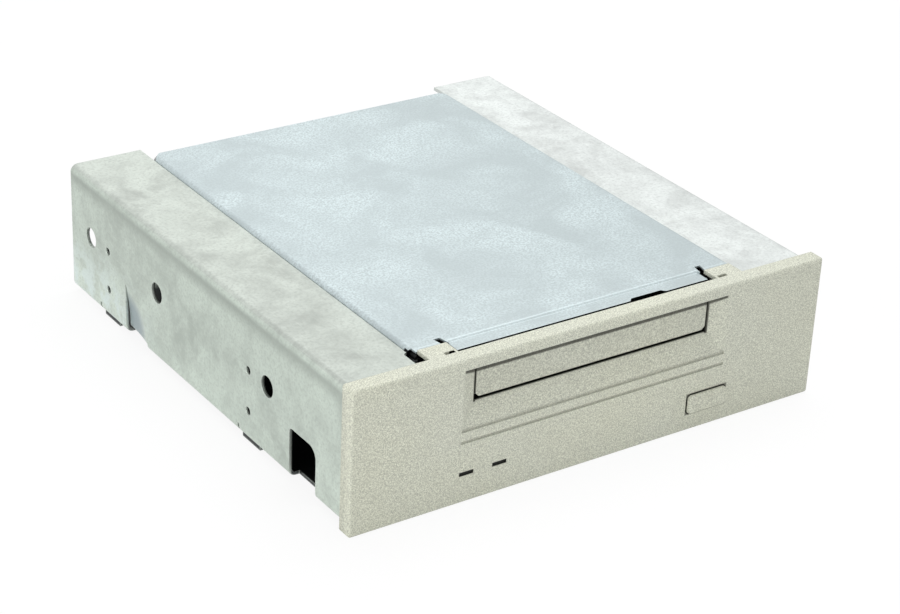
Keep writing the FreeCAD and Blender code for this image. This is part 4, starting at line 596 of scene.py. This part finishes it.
def add_copies(name, slot, shape, places):
    """One object made of copies of a shape, each moved by a matrix. It rides on the drive."""
    points, faces = shape
    all_points = [place @ point for place in places for point in points]
    all_faces = [tuple(corner + n * len(points) for corner in face)
                 for n in range(len(places)) for face in faces]
    mesh = bpy.data.meshes.new(name)
    mesh.from_pydata(all_points, [], all_faces)
    mesh.materials.append(FINISHES[slot])
    mesh.polygons.foreach_set("use_smooth", [True] * len(mesh.polygons))
    piece = bpy.data.objects.new(name, mesh)
    bpy.context.scene.collection.objects.link(piece)
    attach(piece, "body")


def hanging(x, y, turn=0.0):
    """A place under the board, with the copy's Z pointing down."""
    return (move(x, y, BOARD_LOW.z) @ Matrix.Rotation(turn, 4, "Z")
            @ Matrix.Rotation(math.pi, 4, "X"))


def solder_connectors():
    """Solder cones where the connectors' pins come through the board."""
    pitch = 2.54
    pin_half = 0.32
    power_pin_half = 1.05
    cone = [(0.95, -0.02), (0.75, 0.12), (0.45, 0.45), (0.33, 0.9), (0.30, 1.25), (0.0, 1.3)]
    pins_low, pins_high = box_mm("data_pins")
    columns = round((pins_high.x - pins_low.x) / pitch) + 1
    row = box_mm("data_header")[0].y + 2
    places = [hanging(pins_low.x + pin_half + pitch * column, row + pitch * side)
              for column in range(columns) for side in (0, 1)]
    add_copies("pin_solder", "tinned_pins", lathe(cone, 16), places)
    power_low, power_high = box_mm("power_pins")
    power_pitch = (power_high.x - power_low.x - power_pin_half * 2) / 3
    wide_cone = [(radius * 1.9, height) for radius, height in cone]
    places = [hanging(power_low.x + power_pin_half + power_pitch * n, row + pitch)
              for n in range(4)]
    add_copies("power_solder", "tinned_pins", lathe(wide_cone, 24), places)


def mount_chips(prefix, places, length, width, height):
    """Chip parts of one size: a body between two tinned ends."""
    add_copies(prefix + "_board_parts", "chip_epoxy",
               block(length * 0.7, width, height, 0.06), places)
    end = block(length * 0.18, width * 1.04, height * 1.05, 0.05)
    for side, label in ((-1, "_left_ends"), (1, "_right_ends")):
        shift = move(side * length * 0.42, 0, 0)
        add_copies(prefix + label, "tinned_pins", end, [place @ shift for place in places])


def mount_small_parts():
    """Rows of chip resistors and capacitors, soldered a little unevenly under the board."""
    layout = random.Random(5)
    rows = 13
    columns = 10
    left = BOARD_LOW.x + 10
    front = BOARD_LOW.y + 9
    column_pitch = 8.6
    row_pitch = 9.2
    small_share = 0.5
    large_share = 0.12
    small_places = []
    large_places = []
    for row in range(rows):
        for column in range(columns):
            x = left + column_pitch * column + layout.uniform(-1.6, 1.6)
            y = front + row_pitch * row + layout.uniform(-2.0, 2.0)
            place = hanging(x, y, layout.choice((0.0, math.pi / 2)))
            kind = layout.random()
            if kind < small_share:
                small_places.append(place)
            elif kind < small_share + large_share:
                large_places.append(place)
    mount_chips("small", small_places, 2.0, 1.25, 0.55)
    mount_chips("large", large_places, 3.2, 1.6, 1.1)


def cut_threads():
    """The fine threads in the brackets' tapped holes."""
    crest = 1.10
    root = 1.27
    bore = 1.28
    step = 0.25
    steps = 7
    wave = [(root if n % 2 else crest, step * n) for n in range(steps)]
    sleeve = lathe([(bore, 0.0), *wave, (bore, step * (steps - 1))], 20)
    sunk = 0.15
    places = []
    for side in (-1, 1):
        inwards = Matrix.Rotation(math.radians(-90 * side), 4, "Y")
        for y in (-HOLE_PITCH / 2, HOLE_PITCH / 2):
            for z in SIDE_HOLE_HEIGHTS:
                places.append(move((WALL - sunk) * side, y, z) @ inwards)
            places.append(move(BASE_HOLE_SIDE * side, y, sunk))
    add_copies("bracket_threads", "galvanised_steel", sleeve, places)


# ---------------------------------------------------------------- surroundings

def lay_floor():
    """A white floor that fades into the background and keeps a soft shadow."""
    low, high = CAD_BOX
    half = 20 * max(high[i] - low[i] for i in range(3))
    corners = [(-half, -half), (half, -half), (half, half), (-half, half)]
    mesh = bpy.data.meshes.new("floor")
    mesh.from_pydata([(x, y, low[2]) for x, y in corners], [], [(0, 1, 2, 3)])
    floor = bpy.data.objects.new("floor", mesh)
    bpy.context.scene.collection.objects.link(floor)
    paper = Finish("floor_paper")
    mesh.materials.append(paper.finish((0.95, 0.95, 0.95), 0.85))
    glow = paper.node("ShaderNodeEmission", None, {"Color": (1, 1, 1), "Strength": 1.0})
    paper.blend_surface(paper.white_rays() * FLOOR_GLOW, paper.surface, glow)


def light_world():
    """A white studio seen by the eye and in reflections, with a dimmer even fill."""
    world = bpy.data.worlds.new("studio")
    bpy.context.scene.world = world
    studio = Nodes(world, "ShaderNodeOutputWorld")
    fill, white = [studio.node("ShaderNodeBackground", None,
                               {"Color": colour, "Strength": strength})
                   for colour, strength in (((0.97, 0.99, 1.0), FILL_STRENGTH),
                                            ((1.0, 1.0, 1.0), 1.0))]
    studio.blend_surface(studio.white_rays(), fill, white)


def hang_softbox(name, place, size, power):
    """A rectangular lamp that faces the drive."""
    light = bpy.data.lights.new(name, "AREA")
    light.shape = "RECTANGLE"
    light.size, light.size_y = size
    light.energy = power
    lamp = bpy.data.objects.new(name, light)
    lamp.location = place
    aim = LAMPS_AIM - Vector(place)
    lamp.rotation_euler = aim.to_track_quat("-Z", "Y").to_euler()
    bpy.context.scene.collection.objects.link(lamp)


def place_camera():
    """Looks down on the drive from in front and to its left."""
    yaw = math.radians(CAMERA_YAW)
    pitch = math.radians(CAMERA_PITCH)
    look = Vector((math.sin(yaw) * math.cos(pitch), math.cos(yaw) * math.cos(pitch),
                   math.sin(pitch)))
    right = look.cross(Vector((0, 0, 1))).normalized()
    up = right.cross(look)
    roll = Matrix.Rotation(math.radians(CAMERA_ROLL), 3, look)
    axes = Matrix((roll @ right, roll @ up, -look)).transposed()
    camera = bpy.data.cameras.new("camera")
    camera.sensor_width = 36.0
    camera.lens = CAMERA_LENS
    camera.clip_start = 0.02
    eye = bpy.data.objects.new("camera", camera)
    eye.matrix_world = Matrix.Translation(CAMERA_PLACE) @ axes.to_4x4()
    bpy.context.scene.collection.objects.link(eye)
    bpy.context.scene.camera = eye


bpy.context.scene.view_settings.view_transform = "Standard"
place_camera()
dress_cad_nodes()
solder_connectors()
mount_small_parts()
cut_threads()
lay_floor()
light_world()
for lamp_name, settings in SOFTBOXES.items():
    hang_softbox(lamp_name, *settings)
